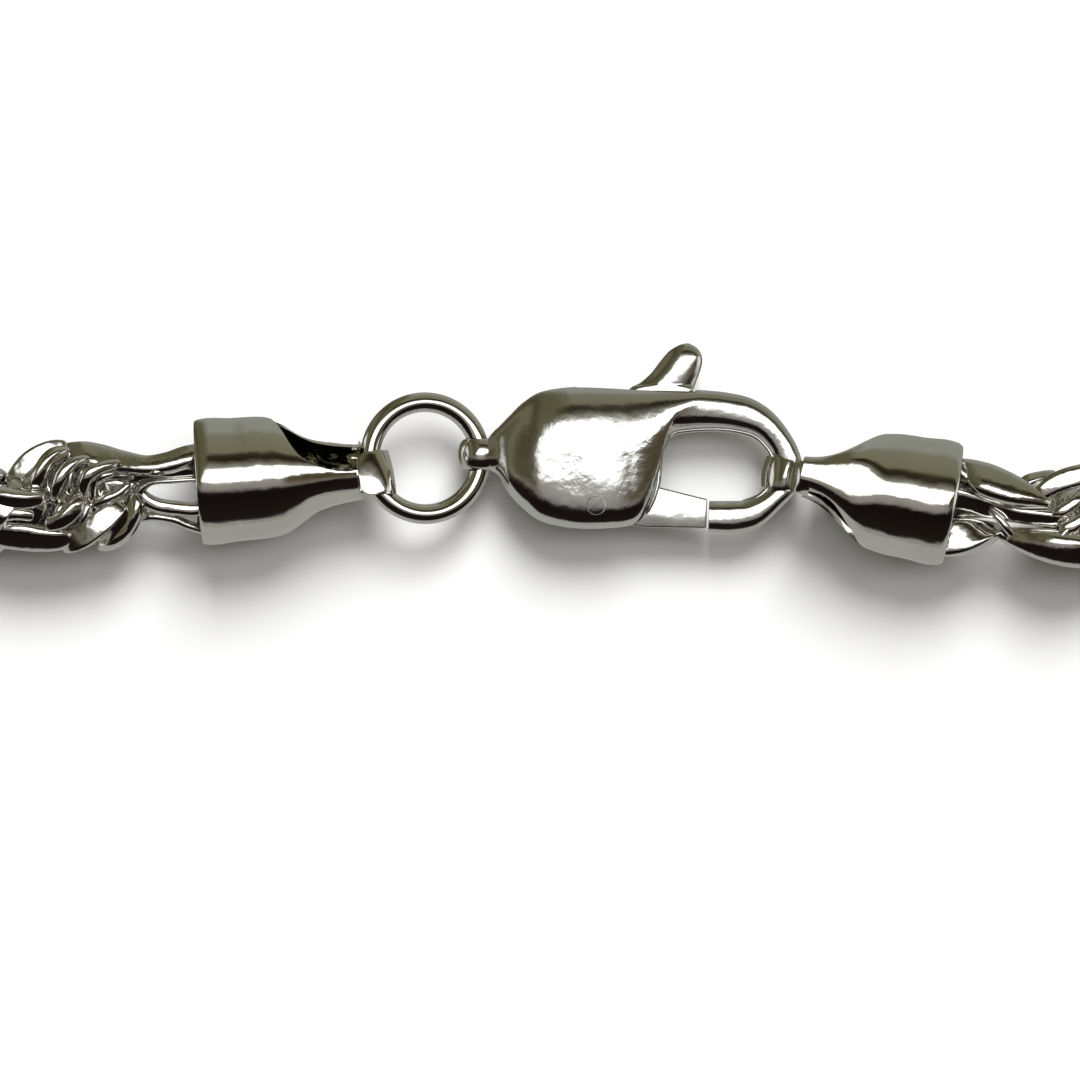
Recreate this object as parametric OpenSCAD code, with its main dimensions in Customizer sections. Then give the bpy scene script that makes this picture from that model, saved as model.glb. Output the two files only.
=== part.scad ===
// Rope chain necklace, fastened with a lobster clasp and laid flat as a closed loop.
// Lengths are in millimetres. +X runs along the closure from the cap that holds the jump
// ring to the cap that hangs in the clasp, +Y points from the loop's middle to the
// closure, and the loop lies on Z = 0.

/* [Loop] */
// Length of the closed necklace, measured along its middle line
necklace_l = 610; // [450:5:760]
// Depth of the laid loop as a share of its width
loop_aspect = 0.76; // [0.7:0.01:1]

/* [Rope] */
// Width of the rope across its two strands
rope_w = 4.9; // [4.5:0.05:5]
// Outer diameter of a link, which is the thickness of one strand
link_d = 3.5; // [3:0.1:4]
// Length over which the two strands make one full turn
rope_pitch = 13.42; // [10:0.02:18]
// How far each end of the rope reaches into its cap
rope_seat = 2.2; // [1:0.1:3]
// Length over which each end of the rope rises from the table to its cap
rope_rise_l = 12; // [6:1:30]

/* [End caps] */
// Outer diameter of a cap's sleeve
cap_d = 5.7; // [5.7:0.05:6.4]
// Thickness of the sheet that a cap is formed from
cap_wall = 0.3; // [0.25:0.01:0.33]
// Length of the straight sleeve
sleeve_l = 3.2; // [2.6:0.1:4.5]
// Distance from a cap's mouth to the middle of its loop
cap_l = 7.6; // [7:0.1:9.5]
// Outer diameter of the bell's small end on the jump ring's side
ring_neck_d = 2.7; // [2.4:0.05:3]
// Outer diameter of the bell's small end on the clasp's side
hook_neck_d = 1.9; // [1.7:0.05:2.4]
// Angle round the bell over which its sheet is cut away
bell_gap_angle = 45; // [20:5:70]
// Width of the tongue that is bent into the loop
tongue_w = 1.6; // [1:0.05:1.8]
// Inner diameter of the loop
loop_bore = 2; // [1.95:0.05:2.4]
// Angle of the jump ring's cap to the closure
ring_cap_tilt = 6; // [0:0.5:12]
// Angle of the clasp's cap to the closure
hook_cap_tilt = 8.5; // [4:0.5:12]

/* [Jump ring] */
// Outer diameter of the jump ring
ring_d = 6; // [5.4:0.1:7]
// Diameter of the jump ring's wire
ring_wire = 0.9; // [0.7:0.05:0.95]
// Angle at which the jump ring lies off its cap's loop
ring_line = 13; // [5:1:20]

/* [Clasp] */
// Length from the middle of the eye to the far end of the hook
clasp_l = 14.7; // [13.8:0.1:17]
// Width across the body, which the hook also takes up
clasp_w = 6.7; // [6.2:0.1:7.4]
// Thickness of the body at its crown
clasp_t = 3.8; // [3.4:0.05:4]
// Bore of the eye that the jump ring runs through
eye_bore = 1.4; // [1.35:0.05:1.6]
// Metal round the eye's bore
eye_wall = 0.32; // [0.25:0.01:0.4]
// Width of the eye along its bore
eye_w = 1.4; // [1.2:0.1:1.8]
// Angle of the clasp to the closure
clasp_turn = 1.7; // [0:0.1:3]

/* [Lever] */
// Thickness of the lever
lever_t = 1.2; // [0.9:0.05:1.3]
// Radius of the boss round the rivet
boss_r = 0.8; // [0.7:0.05:0.85]
// Radius of the thumb piece's round end
thumb_r = 0.84; // [0.6:0.02:0.9]
// Diameter of the rivet
rivet_d = 0.8; // [0.5:0.05:1]
// Angle through which the lever opens
lever_open = 22; // [15:1:24]

/* [Clearances] */
// Gap on each side between the lever and the slot that it swings in
slot_gap = 0.1; // [0.05:0.01:0.12]
// Radial gap between the rivet and the lever's bore
rivet_gap = 0.05; // [0.02:0.01:0.1]
// Radial gap between the rivet and the body's holes
rivet_seat_gap = 0.02; // [0.01:0.01:0.05]
// Gap between linked pieces where they bear on each other
link_gap = 0.06; // [0.04:0.01:0.1]

/* [Hidden] */

// Facets of round surfaces, and of the arcs in outlines
ROUND = 64;
ARC_STEPS = 12;
// A cut runs this far past the face that it opens
PAST = 1;

// Corners of the rope's section, and sections in one turn of its strands
ROPE_SIDES = 12;
ROPE_SECTIONS_PER_TURN = 9;
// Turn of the strands about the rope at its first section, in degrees
ROPE_START_TURN = 156;

// Share of the bell's length at which its gap starts, and the gaps' angles from the tongues
BELL_GAP_SHARE = 0.2;
RING_GAP_AT = 143;
HOOK_GAP_AT = 68;

// Corners of the clasp's section, and steps between two rows of its table
CLASP_SIDES = 14;
CLASP_STEPS = 2;
// Squareness of the clasp's sections, 2 being an ellipse
CLASP_SQUARENESS = 2.8;

// The clasp's form, a row for each section from the eye round to the hook's tip.
// top_x, top_y: point on the outer outline; low_x, low_y: point on the outline across
// from it; thick: thickness there. The columns are shares of clasp_l, clasp_w, clasp_l,
// clasp_w and clasp_t, and x and y are measured from the middle of the eye.
CLASP_SECTIONS = [
    [0.024,  0.128, 0.024, -0.118, 0.50],
    [0.054,  0.182, 0.054, -0.142, 0.58],
    [0.088,  0.258, 0.088, -0.270, 0.73],
    [0.133,  0.354, 0.133, -0.372, 0.85],
    [0.190,  0.426, 0.190, -0.458, 0.95],
    [0.286,  0.457, 0.286, -0.503, 1.00],
    [0.395,  0.453, 0.395, -0.505, 0.97],
    [0.476,  0.446, 0.476, -0.477, 0.87],
    [0.537,  0.442, 0.525, -0.385, 0.78],
    [0.592,  0.440, 0.555, -0.215, 0.69],
    [0.639,  0.438, 0.567,  0.004, 0.63],
    [0.673,  0.436, 0.597,  0.122, 0.59],
    [0.710,  0.432, 0.648,  0.172, 0.53],
    [0.769,  0.417, 0.741,  0.179, 0.45],
    [0.837,  0.381, 0.808,  0.160, 0.41],
    [0.898,  0.300, 0.850,  0.120, 0.39],
    [0.949,  0.172, 0.880,  0.045, 0.36],
    [0.986,  0.025, 0.893, -0.025, 0.34],
    [1.000, -0.120, 0.896, -0.115, 0.33],
    [0.984, -0.240, 0.883, -0.205, 0.34],
    [0.938, -0.350, 0.857, -0.280, 0.36],
    [0.868, -0.490, 0.822, -0.313, 0.38],
    [0.790, -0.537, 0.778, -0.318, 0.37],
    [0.706, -0.534, 0.709, -0.318, 0.36]
];

// Angles of the thumb piece's round end, and the angle at which the boss meets the arm
THUMB_ARC = [142, -18];
BOSS_ARC = [270, 150];
// Free angle past each end of the lever's swing
SWING_SPARE = 2;

// Places on the clasp, as shares of clasp_l and clasp_w from the middle of the eye
RIVET_AT = [0.357, -0.350];
HOOK_SEAT_AT = [0.945, -0.142];
THUMB_AT = [0.623, 0.634];
GATE_TOP_AT = [0.694, -0.306];
GATE_LOW_AT = [0.689, -0.505];

function at_share(share) = [share[0] * clasp_l, share[1] * clasp_w];
function turned(p, a) = [p[0] * cos(a) - p[1] * sin(a), p[0] * sin(a) + p[1] * cos(a)];
function polar(r, a) = [r * cos(a), r * sin(a)];
function arc(centre, r, a0, a1) =
    [for (i = [0:ARC_STEPS]) centre + polar(r, a0 + (a1 - a0) * i / ARC_STEPS)];
function smooth(t) = t <= 0 ? 0 : t >= 1 ? 1 : t * t * (3 - 2 * t);

// Angle by which the ring may lie off the eye's line
EYE_SWING = 5;

// Heights at which the pieces lie on the table
rope_z = rope_w / 2;
cap_z = cap_d / 2;
clasp_z = clasp_t / 2;

// The closure, worked out link by link along its line
ring_r = (ring_d - ring_wire) / 2;
loop_r = loop_bore / 2;
// The ring's wire is curved, so it bears on a bore at the edge that its swing brings nearer
function wire_bow(width, swing) =
    ring_r - sqrt(pow(ring_r, 2) - pow(width / 2 + ring_r * sin(swing), 2));
function throw(bore, width, swing) =
    ring_r + (bore - ring_wire) / 2 - wire_bow(width, swing) - link_gap;
cap_swing = abs(ring_line - ring_cap_tilt) + SWING_SPARE;
cap_throw = throw(loop_bore, tongue_w, cap_swing);
eye_throw = throw(eye_bore, eye_w, EYE_SWING);
ring_slope = asin((cap_z - clasp_z) / (cap_throw + eye_throw));
cap_run = cap_throw * cos(ring_slope);
eye_run = eye_throw * cos(ring_slope);
hook_seat = turned(at_share(HOOK_SEAT_AT), clasp_turn);
// The two mouths lie level, which sets the angle at which the eye lies off the ring
eye_rise = cap_l * (sin(hook_cap_tilt) - sin(ring_cap_tilt)) - cap_run * sin(ring_line) - hook_seat[1];
eye_line = asin(eye_rise / eye_run);
caps_run = cap_l * (cos(ring_cap_tilt) + cos(hook_cap_tilt));
mouth_x = (caps_run + cap_run * cos(ring_line) + eye_run * cos(eye_line) + hook_seat[0]) / 2;

// The loop is an ellipse of the necklace's length, by Ramanujan's formula
aspect_term = pow((1 - loop_aspect) / (1 + loop_aspect), 2);
perimeter_share = PI * (1 + loop_aspect) * (1 + 3 * aspect_term / (10 + sqrt(4 - 3 * aspect_term)));
loop_a = necklace_l / perimeter_share;
loop_b = loop_aspect * loop_a;
mouth_angle = acos(mouth_x / loop_a);
mouth_rise = loop_b * sin(mouth_angle);

// Places in the loop's own plan, measured from the middle of the ellipse
ring_mouth = [-mouth_x, mouth_rise];
hook_mouth = [mouth_x, mouth_rise];
ring_loop = ring_mouth + polar(cap_l, ring_cap_tilt);
ring_middle = ring_loop + polar(cap_run, ring_line);
eye_middle = ring_middle + polar(eye_run, eye_line);
thumb_top = eye_middle[1] + turned(at_share(THUMB_AT), clasp_turn)[1] + thumb_r;

// The plan is moved so that the origin is at the middle of the necklace's footprint
lay_y = -(thumb_top - loop_b - rope_w / 2) / 2;
module laid(place) {
    translate([place[0], place[1] + lay_y, place[2]])
        children();
}

// The rope's path on the ellipse, from inside one cap round to inside the other
seat_angle = rope_seat / loop_a * 180 / PI;
path_start = 180 - mouth_angle - seat_angle;
path_end = 360 + mouth_angle + seat_angle;
rope_l = necklace_l - 2 * mouth_x + 2 * rope_seat;
ROPE_SECTIONS = ceil(rope_l / rope_pitch * ROPE_SECTIONS_PER_TURN);
function path_angle(i) = path_start + (path_end - path_start) * i / ROPE_SECTIONS;
function path_point(a) = [loop_a * cos(a), loop_b * sin(a)];
function path_tangent(a) = let (v = [-loop_a * sin(a), loop_b * cos(a)]) v / norm(v);
path = [for (i = [0:ROPE_SECTIONS]) path_point(path_angle(i))];
path_run = [for (i = 0, s = 0; i <= ROPE_SECTIONS;
    s = s + (i < ROPE_SECTIONS ? norm(path[i + 1] - path[i]) : 0), i = i + 1) s];
path_l = path_run[ROPE_SECTIONS];
// An end of the rope lies at its cap's height and comes down to the table
function path_height(s) =
    let (from_end = min(s, path_l - s) - rope_seat)
    rope_z + (cap_z - rope_z) * (1 - smooth(from_end / rope_rise_l));

// Two round strands side by side: the rope's radius at an angle from the line through both
strand_off = (rope_w - link_d) / 2;
function rope_radius(a) =
    strand_off * abs(cos(a)) + sqrt(pow(link_d / 2, 2) - pow(strand_off * sin(a), 2));

// One corner of the rope's section i, the strands turned by the length run so far
function rope_corner(i, k) =
    let (
        tangent = path_tangent(path_angle(i)),
        a = 360 * k / ROPE_SIDES,
        turn = ROPE_START_TURN + 360 * path_run[i] / rope_pitch,
        r = rope_radius(a - turn)
    )
    [path[i][0] - tangent[1] * r * cos(a), path[i][1] + tangent[0] * r * cos(a),
     path_height(path_run[i]) + r * sin(a)];

// Faces of a closed skin over rings of n corners each
function skin_faces(rings, n) = concat(
    [[for (k = [0:n - 1]) k]],
    [for (i = [0:rings - 2]) for (k = [0:n - 1]) for (half = [0, 1])
        let (a = i * n + k, b = i * n + (k + 1) % n)
        half == 0 ? [a, a + n, b] : [b, a + n, b + n]],
    [[for (k = [n - 1:-1:0]) (rings - 1) * n + k]]
);

// The twisted, two-lobed form of the rope's interlocked links
module rope() {
    color("silver")
        laid([0, 0, 0])
            polyhedron(
                points = [for (i = [0:ROPE_SECTIONS]) for (k = [0:ROPE_SIDES - 1]) rope_corner(i, k)],
                faces = skin_faces(ROPE_SECTIONS + 1, ROPE_SIDES)
            );
}

// Radius of a cap's bell at share t of its length, falling quickly and then flattening out
function bell_radius(t, neck_d) =
    neck_d / 2 + (cap_d - neck_d) / 2 * (1 + cos(180 * pow(t, 0.85))) / 2;

// Each bell ends this far short of its loop's middle, clear of the ring or the hook
ring_back = ring_wire - loop_r + wire_bow(tongue_w, cap_swing) + 3 * link_gap;
hook_back = clasp_l * (1 - HOOK_SEAT_AT[0]) + 3 * link_gap;

// Sleeve and bell, turned about +X from the mouth. gap_at is the angle from the tongue's
// side to the gap where the bell's sheet stops short of closing.
module cap_shell(neck_d, back, gap_at) {
    bell_l = cap_l - back - sleeve_l;
    outer = [for (i = [0:ARC_STEPS]) [bell_radius(i / ARC_STEPS, neck_d), sleeve_l + bell_l * i / ARC_STEPS]];
    inner = [for (i = [ARC_STEPS:-1:0]) outer[i] - [cap_wall, 0]];
    gap_start = sleeve_l + bell_l * BELL_GAP_SHARE;
    gap_from = 180 - gap_at - bell_gap_angle / 2;
    rotate([0, 90, 0])
        difference() {
            rotate_extrude($fn = ROUND)
                polygon(concat([[cap_d / 2, 0]], outer, inner, [[cap_d / 2 - cap_wall, 0]]));
            translate([0, 0, gap_start])
                linear_extrude(cap_l)
                    polygon([[0, 0], polar(cap_d, gap_from), polar(cap_d, gap_from + bell_gap_angle)]);
        }
}

// Outline of a strip of sheet that follows a line of points
function strip_side(line, off) = [
    for (i = [0:len(line) - 1])
        let (
            before = line[max(i - 1, 0)],
            after = line[min(i + 1, len(line) - 1)],
            along = (after - before) / norm(after - before)
        )
        line[i] + off * [-along[1], along[0]]
];
function reversed(list) = [for (i = [len(list) - 1:-1:0]) list[i]];

// Tongue that leaves the bell's upper wall, bends round the loop and ends short of the bell.
// drop is how far the loop's middle lies below the cap's axis.
module tongue(neck_d, back, drop) {
    bend_r = loop_r + cap_wall / 2;
    root_z = (neck_d - cap_wall) / 2;
    bell_end = cap_l - back;
    line = concat(
        [[bell_end - cap_wall, root_z], [bell_end, root_z]],
        arc([cap_l, -drop], bend_r, 90, -90),
        [[bell_end + link_gap, -drop - bend_r]]
    );
    rotate([90, 0, 0])
        linear_extrude(tongue_w, center = true)
            polygon(concat(strip_side(line, cap_wall / 2), reversed(strip_side(line, -cap_wall / 2))));
}

module end_cap(neck_d, back, drop, gap_at) {
    color("lightgray") {
        cap_shell(neck_d, back, gap_at);
        tongue(neck_d, back, drop);
    }
}

// The jump ring's cap, whose tongue passes under the ring and comes back over it
module ring_cap() {
    laid([ring_mouth[0], ring_mouth[1], cap_z])
        rotate([0, 0, ring_cap_tilt])
            mirror([0, 0, 1])
                end_cap(ring_neck_d, ring_back, 0, RING_GAP_AT);
}

// The clasp's cap, whose tongue passes over the hook and comes back under it
module hook_cap() {
    laid([hook_mouth[0], hook_mouth[1], cap_z])
        rotate([0, 0, 180 - hook_cap_tilt])
            end_cap(hook_neck_d, hook_back, cap_z - clasp_z, HOOK_GAP_AT);
}

module jump_ring() {
    color("gainsboro")
        laid([ring_middle[0], ring_middle[1], cap_z - cap_throw * sin(ring_slope)])
            rotate([0, 0, (ring_line + eye_line) / 2])
                rotate([0, ring_slope, 0])
                    rotate_extrude($fn = ROUND)
                        translate([ring_r, 0])
                            circle(d = ring_wire, $fn = ROUND);
}

// Puts the clasp's own plan, which starts at the eye, in its place
module on_clasp() {
    laid([eye_middle[0], eye_middle[1], clasp_z])
        rotate([0, 0, clasp_turn])
            children();
}

// Smooth curve through the rows of the clasp's table, at share t after row i
function section_row(i) = CLASP_SECTIONS[min(max(i, 0), len(CLASP_SECTIONS) - 1)];
function section_at(i, t) =
    let (a = section_row(i - 1), b = section_row(i), c = section_row(i + 1), d = section_row(i + 2))
    b + (c - a) * t / 2 + (a - 2.5 * b + 2 * c - d / 2) * t * t + (1.5 * (b - c) + (d - a) / 2) * t * t * t;
clasp_rows = concat(
    [for (i = [0:len(CLASP_SECTIONS) - 2]) for (j = [0:CLASP_STEPS - 1]) section_at(i, j / CLASP_STEPS)],
    [CLASP_SECTIONS[len(CLASP_SECTIONS) - 1]]
);
function squared(v) = sign(v) * pow(abs(v), 2 / CLASP_SQUARENESS);
function clasp_corner(row, k) =
    let (
        top = at_share([row[0], row[1]]),
        low = at_share([row[2], row[3]]),
        a = 360 * k / CLASP_SIDES,
        p = (top + low) / 2 + (top - low) / 2 * squared(cos(a))
    )
    [p[0], p[1], row[4] * clasp_t / 2 * squared(sin(a))];

rivet_at = at_share(RIVET_AT);
slot_t = lever_t + 2 * slot_gap;

// Plan of the slot: round the boss, open at the gate's side, and as wide as the thumb piece's swing
module slot_plan() {
    right = thumb_right_angle - SWING_SPARE;
    left = thumb_left_angle + lever_open + SWING_SPARE;
    low = -boss_r - slot_gap - PAST;
    opening = clasp_l * 0.228;
    translate(rivet_at) {
        circle(boss_r + slot_gap, $fn = ROUND);
        polygon([
            [-boss_r - slot_gap, low],
            [opening, low],
            [opening, clasp_w * 0.38],
            polar(clasp_w * 0.6, right),
            polar(clasp_w + PAST, right),
            polar(clasp_w + PAST, left),
            [-boss_r - slot_gap, 0]
        ]);
    }
}

module clasp_body() {
    color("silver")
        on_clasp()
            difference() {
                union() {
                    polyhedron(
                        points = [for (row = clasp_rows) for (k = [0:CLASP_SIDES - 1]) clasp_corner(row, k)],
                        faces = skin_faces(len(clasp_rows), CLASP_SIDES)
                    );
                    rotate([90, 0, 0])
                        cylinder(d = eye_bore + 2 * eye_wall, h = eye_w, center = true, $fn = ROUND);
                }
                rotate([90, 0, 0])
                    cylinder(d = eye_bore, h = clasp_w, center = true, $fn = ROUND);
                linear_extrude(slot_t, center = true)
                    slot_plan();
                translate(rivet_at)
                    cylinder(d = rivet_d + 2 * rivet_seat_gap, h = clasp_t + PAST, center = true, $fn = ROUND);
            }
}

// The rivet, as long as the body is thick where it sits
RIVET_L_SHARE = 0.79;
module clasp_rivet() {
    color("gainsboro")
        on_clasp()
            translate(rivet_at)
                cylinder(d = rivet_d, h = clasp_t * RIVET_L_SHARE, center = true, $fn = ROUND);
}

// Directions from the rivet to the two sides of the thumb piece
thumb_right = at_share([0.648, 0.441]) - rivet_at;
thumb_left = at_share([0.473, 0.448]) - rivet_at;
thumb_right_angle = atan2(thumb_right[1], thumb_right[0]);
thumb_left_angle = atan2(thumb_left[1], thumb_left[0]);

// Plan of the lever: boss, arm up to the thumb piece, and the gate that closes the hook
module lever_plan() {
    thumb = at_share(THUMB_AT);
    polygon(concat(
        [at_share([0.449, 0.328]),
         rivet_at + thumb_left,
         at_share([0.525, 0.573])],
        arc(thumb, thumb_r, THUMB_ARC[0], THUMB_ARC[1]),
        [rivet_at + thumb_right,
         rivet_at + polar(clasp_w * 0.45, thumb_right_angle),
         at_share([0.527, -0.194]),
         at_share([0.551, -0.224]),
         at_share(GATE_TOP_AT),
         at_share(GATE_LOW_AT),
         at_share([0.510, -0.499]),
         rivet_at + [clasp_l * 0.071, -boss_r]],
        arc(rivet_at, boss_r, BOSS_ARC[0], BOSS_ARC[1])
    ));
}

module clasp_lever() {
    color("gainsboro")
        on_clasp()
            difference() {
                linear_extrude(lever_t, center = true)
                    lever_plan();
                translate(rivet_at)
                    cylinder(d = rivet_d + 2 * rivet_gap, h = clasp_t, center = true, $fn = ROUND);
            }
}

rope();
ring_cap();
hook_cap();
jump_ring();
clasp_body();
clasp_rivet();
clasp_lever();
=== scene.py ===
"""Rope chain necklace fastened with a lobster clasp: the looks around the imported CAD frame.

The script works in millimetres in the part's own frame and turns them into metres when a
mesh is made. Every piece is built from whole numpy arrays, replaces its CAD node and rides
on the same body.
"""

import logging
import math
from dataclasses import dataclass, field
from enum import Enum

import bpy
import numpy as np
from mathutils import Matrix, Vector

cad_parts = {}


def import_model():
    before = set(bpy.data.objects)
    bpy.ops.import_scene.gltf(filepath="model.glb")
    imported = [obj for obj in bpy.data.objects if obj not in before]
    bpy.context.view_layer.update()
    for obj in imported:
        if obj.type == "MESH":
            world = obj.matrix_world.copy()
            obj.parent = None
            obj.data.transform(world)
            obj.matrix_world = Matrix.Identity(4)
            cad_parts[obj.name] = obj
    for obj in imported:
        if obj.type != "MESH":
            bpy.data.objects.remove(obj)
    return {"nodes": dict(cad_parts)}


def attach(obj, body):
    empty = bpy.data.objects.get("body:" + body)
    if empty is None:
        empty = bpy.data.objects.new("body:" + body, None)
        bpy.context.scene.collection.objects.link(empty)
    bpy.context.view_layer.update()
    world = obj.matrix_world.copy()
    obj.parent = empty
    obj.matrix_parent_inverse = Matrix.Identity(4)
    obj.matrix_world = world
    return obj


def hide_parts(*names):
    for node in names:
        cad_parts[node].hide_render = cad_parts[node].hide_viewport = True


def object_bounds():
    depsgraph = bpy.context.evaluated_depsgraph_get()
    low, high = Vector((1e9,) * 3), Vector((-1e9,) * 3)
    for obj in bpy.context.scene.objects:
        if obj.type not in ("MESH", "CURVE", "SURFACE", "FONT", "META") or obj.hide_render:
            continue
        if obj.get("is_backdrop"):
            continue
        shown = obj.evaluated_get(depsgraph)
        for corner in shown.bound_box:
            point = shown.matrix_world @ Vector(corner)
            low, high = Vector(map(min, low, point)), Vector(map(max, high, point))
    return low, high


MM = 0.001
LOG = logging.getLogger("rope_chain")


# Sizes of the part, as its OpenSCAD source has them


@dataclass(frozen=True)
class NecklaceSizes:
    """Sizes of the whole part, in millimetres and degrees."""

    necklace_l: float = 610.0
    loop_aspect: float = 0.76
    rope_w: float = 4.9
    rope_pitch: float = 13.42
    rope_seat: float = 2.2
    rope_rise_l: float = 12.0
    rope_start_turn: float = 156.0
    cap_d: float = 5.7
    cap_wall: float = 0.3
    sleeve_l: float = 3.2
    cap_l: float = 7.6
    tongue_w: float = 1.6
    loop_bore: float = 2.0
    ring_cap_tilt: float = 6.0
    hook_cap_tilt: float = 8.5
    ring_d: float = 6.0
    ring_wire: float = 0.9
    ring_line: float = 13.0
    clasp_l: float = 14.7
    clasp_w: float = 6.7
    clasp_t: float = 3.8
    eye_bore: float = 1.4
    eye_wall: float = 0.32
    eye_w: float = 1.4
    clasp_turn: float = 1.7
    lever_t: float = 1.2
    boss_r: float = 0.8
    thumb_r: float = 0.84
    rivet_d: float = 0.8
    lever_open: float = 22.0
    slot_gap: float = 0.1
    rivet_gap: float = 0.05
    rivet_seat_gap: float = 0.02
    link_gap: float = 0.06
    eye_swing: float = 5.0
    swing_spare: float = 2.0
    # Places on the clasp's plan, as shares of its length and width from the eye's middle
    hook_seat_at: tuple[float, float] = (0.945, -0.142)
    thumb_at: tuple[float, float] = (0.623, 0.634)
    rivet_at: tuple[float, float] = (0.357, -0.350)


def polar(radius: float, angle: float) -> np.ndarray:
    """Point at a radius, and at an angle in degrees from +X towards +Y."""
    a = math.radians(angle)
    return radius * np.array([math.cos(a), math.sin(a)])


def smooth(t: np.ndarray) -> np.ndarray:
    """Ease from 0 to 1: three t squared less two t cubed, held at its ends."""
    t = np.clip(t, 0.0, 1.0)
    return t * t * (3.0 - 2.0 * t)


def unit(vectors: np.ndarray) -> np.ndarray:
    """Vectors on the last axis made one long: each over the root of the sum of its squares."""
    return vectors / np.linalg.norm(vectors, axis=-1, keepdims=True)


def squared(wave: np.ndarray, square: np.ndarray | float) -> np.ndarray:
    """Cosine or sine raised to two over the squareness, its sign kept. A 2 leaves it round."""
    return np.sign(wave) * np.abs(wave) ** (2 / square)


def rounded_ends(count: int) -> np.ndarray:
    """Share of its full size along a strand, whose two ends are rounded.

    It is the root of one less the way from the middle, raised to a high power. The way is 1 at
    the ends, and a little more than one keeps them from closing to points.

    Args:
        count: Number of places along the strand.

    Returns:
        The shares.
    """
    power, spare = 12, 0.0005
    return np.sqrt(1 + spare - np.linspace(-1, 1, count) ** power)


@dataclass(frozen=True)
class Placement:
    """A place in the part's frame: an origin and the three directions of a piece's own axes."""

    origin: np.ndarray
    axes: np.ndarray

    @staticmethod
    def turned(origin: np.ndarray, heading: float, slope: float = 0.0) -> "Placement":
        """Placement turned about Z, after a turn about its own Y.

        Args:
            origin: The origin in the part's frame, in mm.
            heading: Turn about Z in degrees.
            slope: Turn about the piece's own Y in degrees, which lowers its +X side.

        Returns:
            The placement.
        """
        h, p = math.radians(heading), math.radians(slope)
        turn_z = np.array([[math.cos(h), -math.sin(h), 0], [math.sin(h), math.cos(h), 0], [0, 0, 1]])
        turn_y = np.array([[math.cos(p), 0, math.sin(p)], [0, 1, 0], [-math.sin(p), 0, math.cos(p)]])
        return Placement(np.asarray(origin, float), turn_z @ turn_y)

    def apply(self, points: np.ndarray) -> np.ndarray:
        """Points with x, y, z on the last axis taken to the part's frame: turned, then moved."""
        return points @ self.axes.T + self.origin


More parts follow.
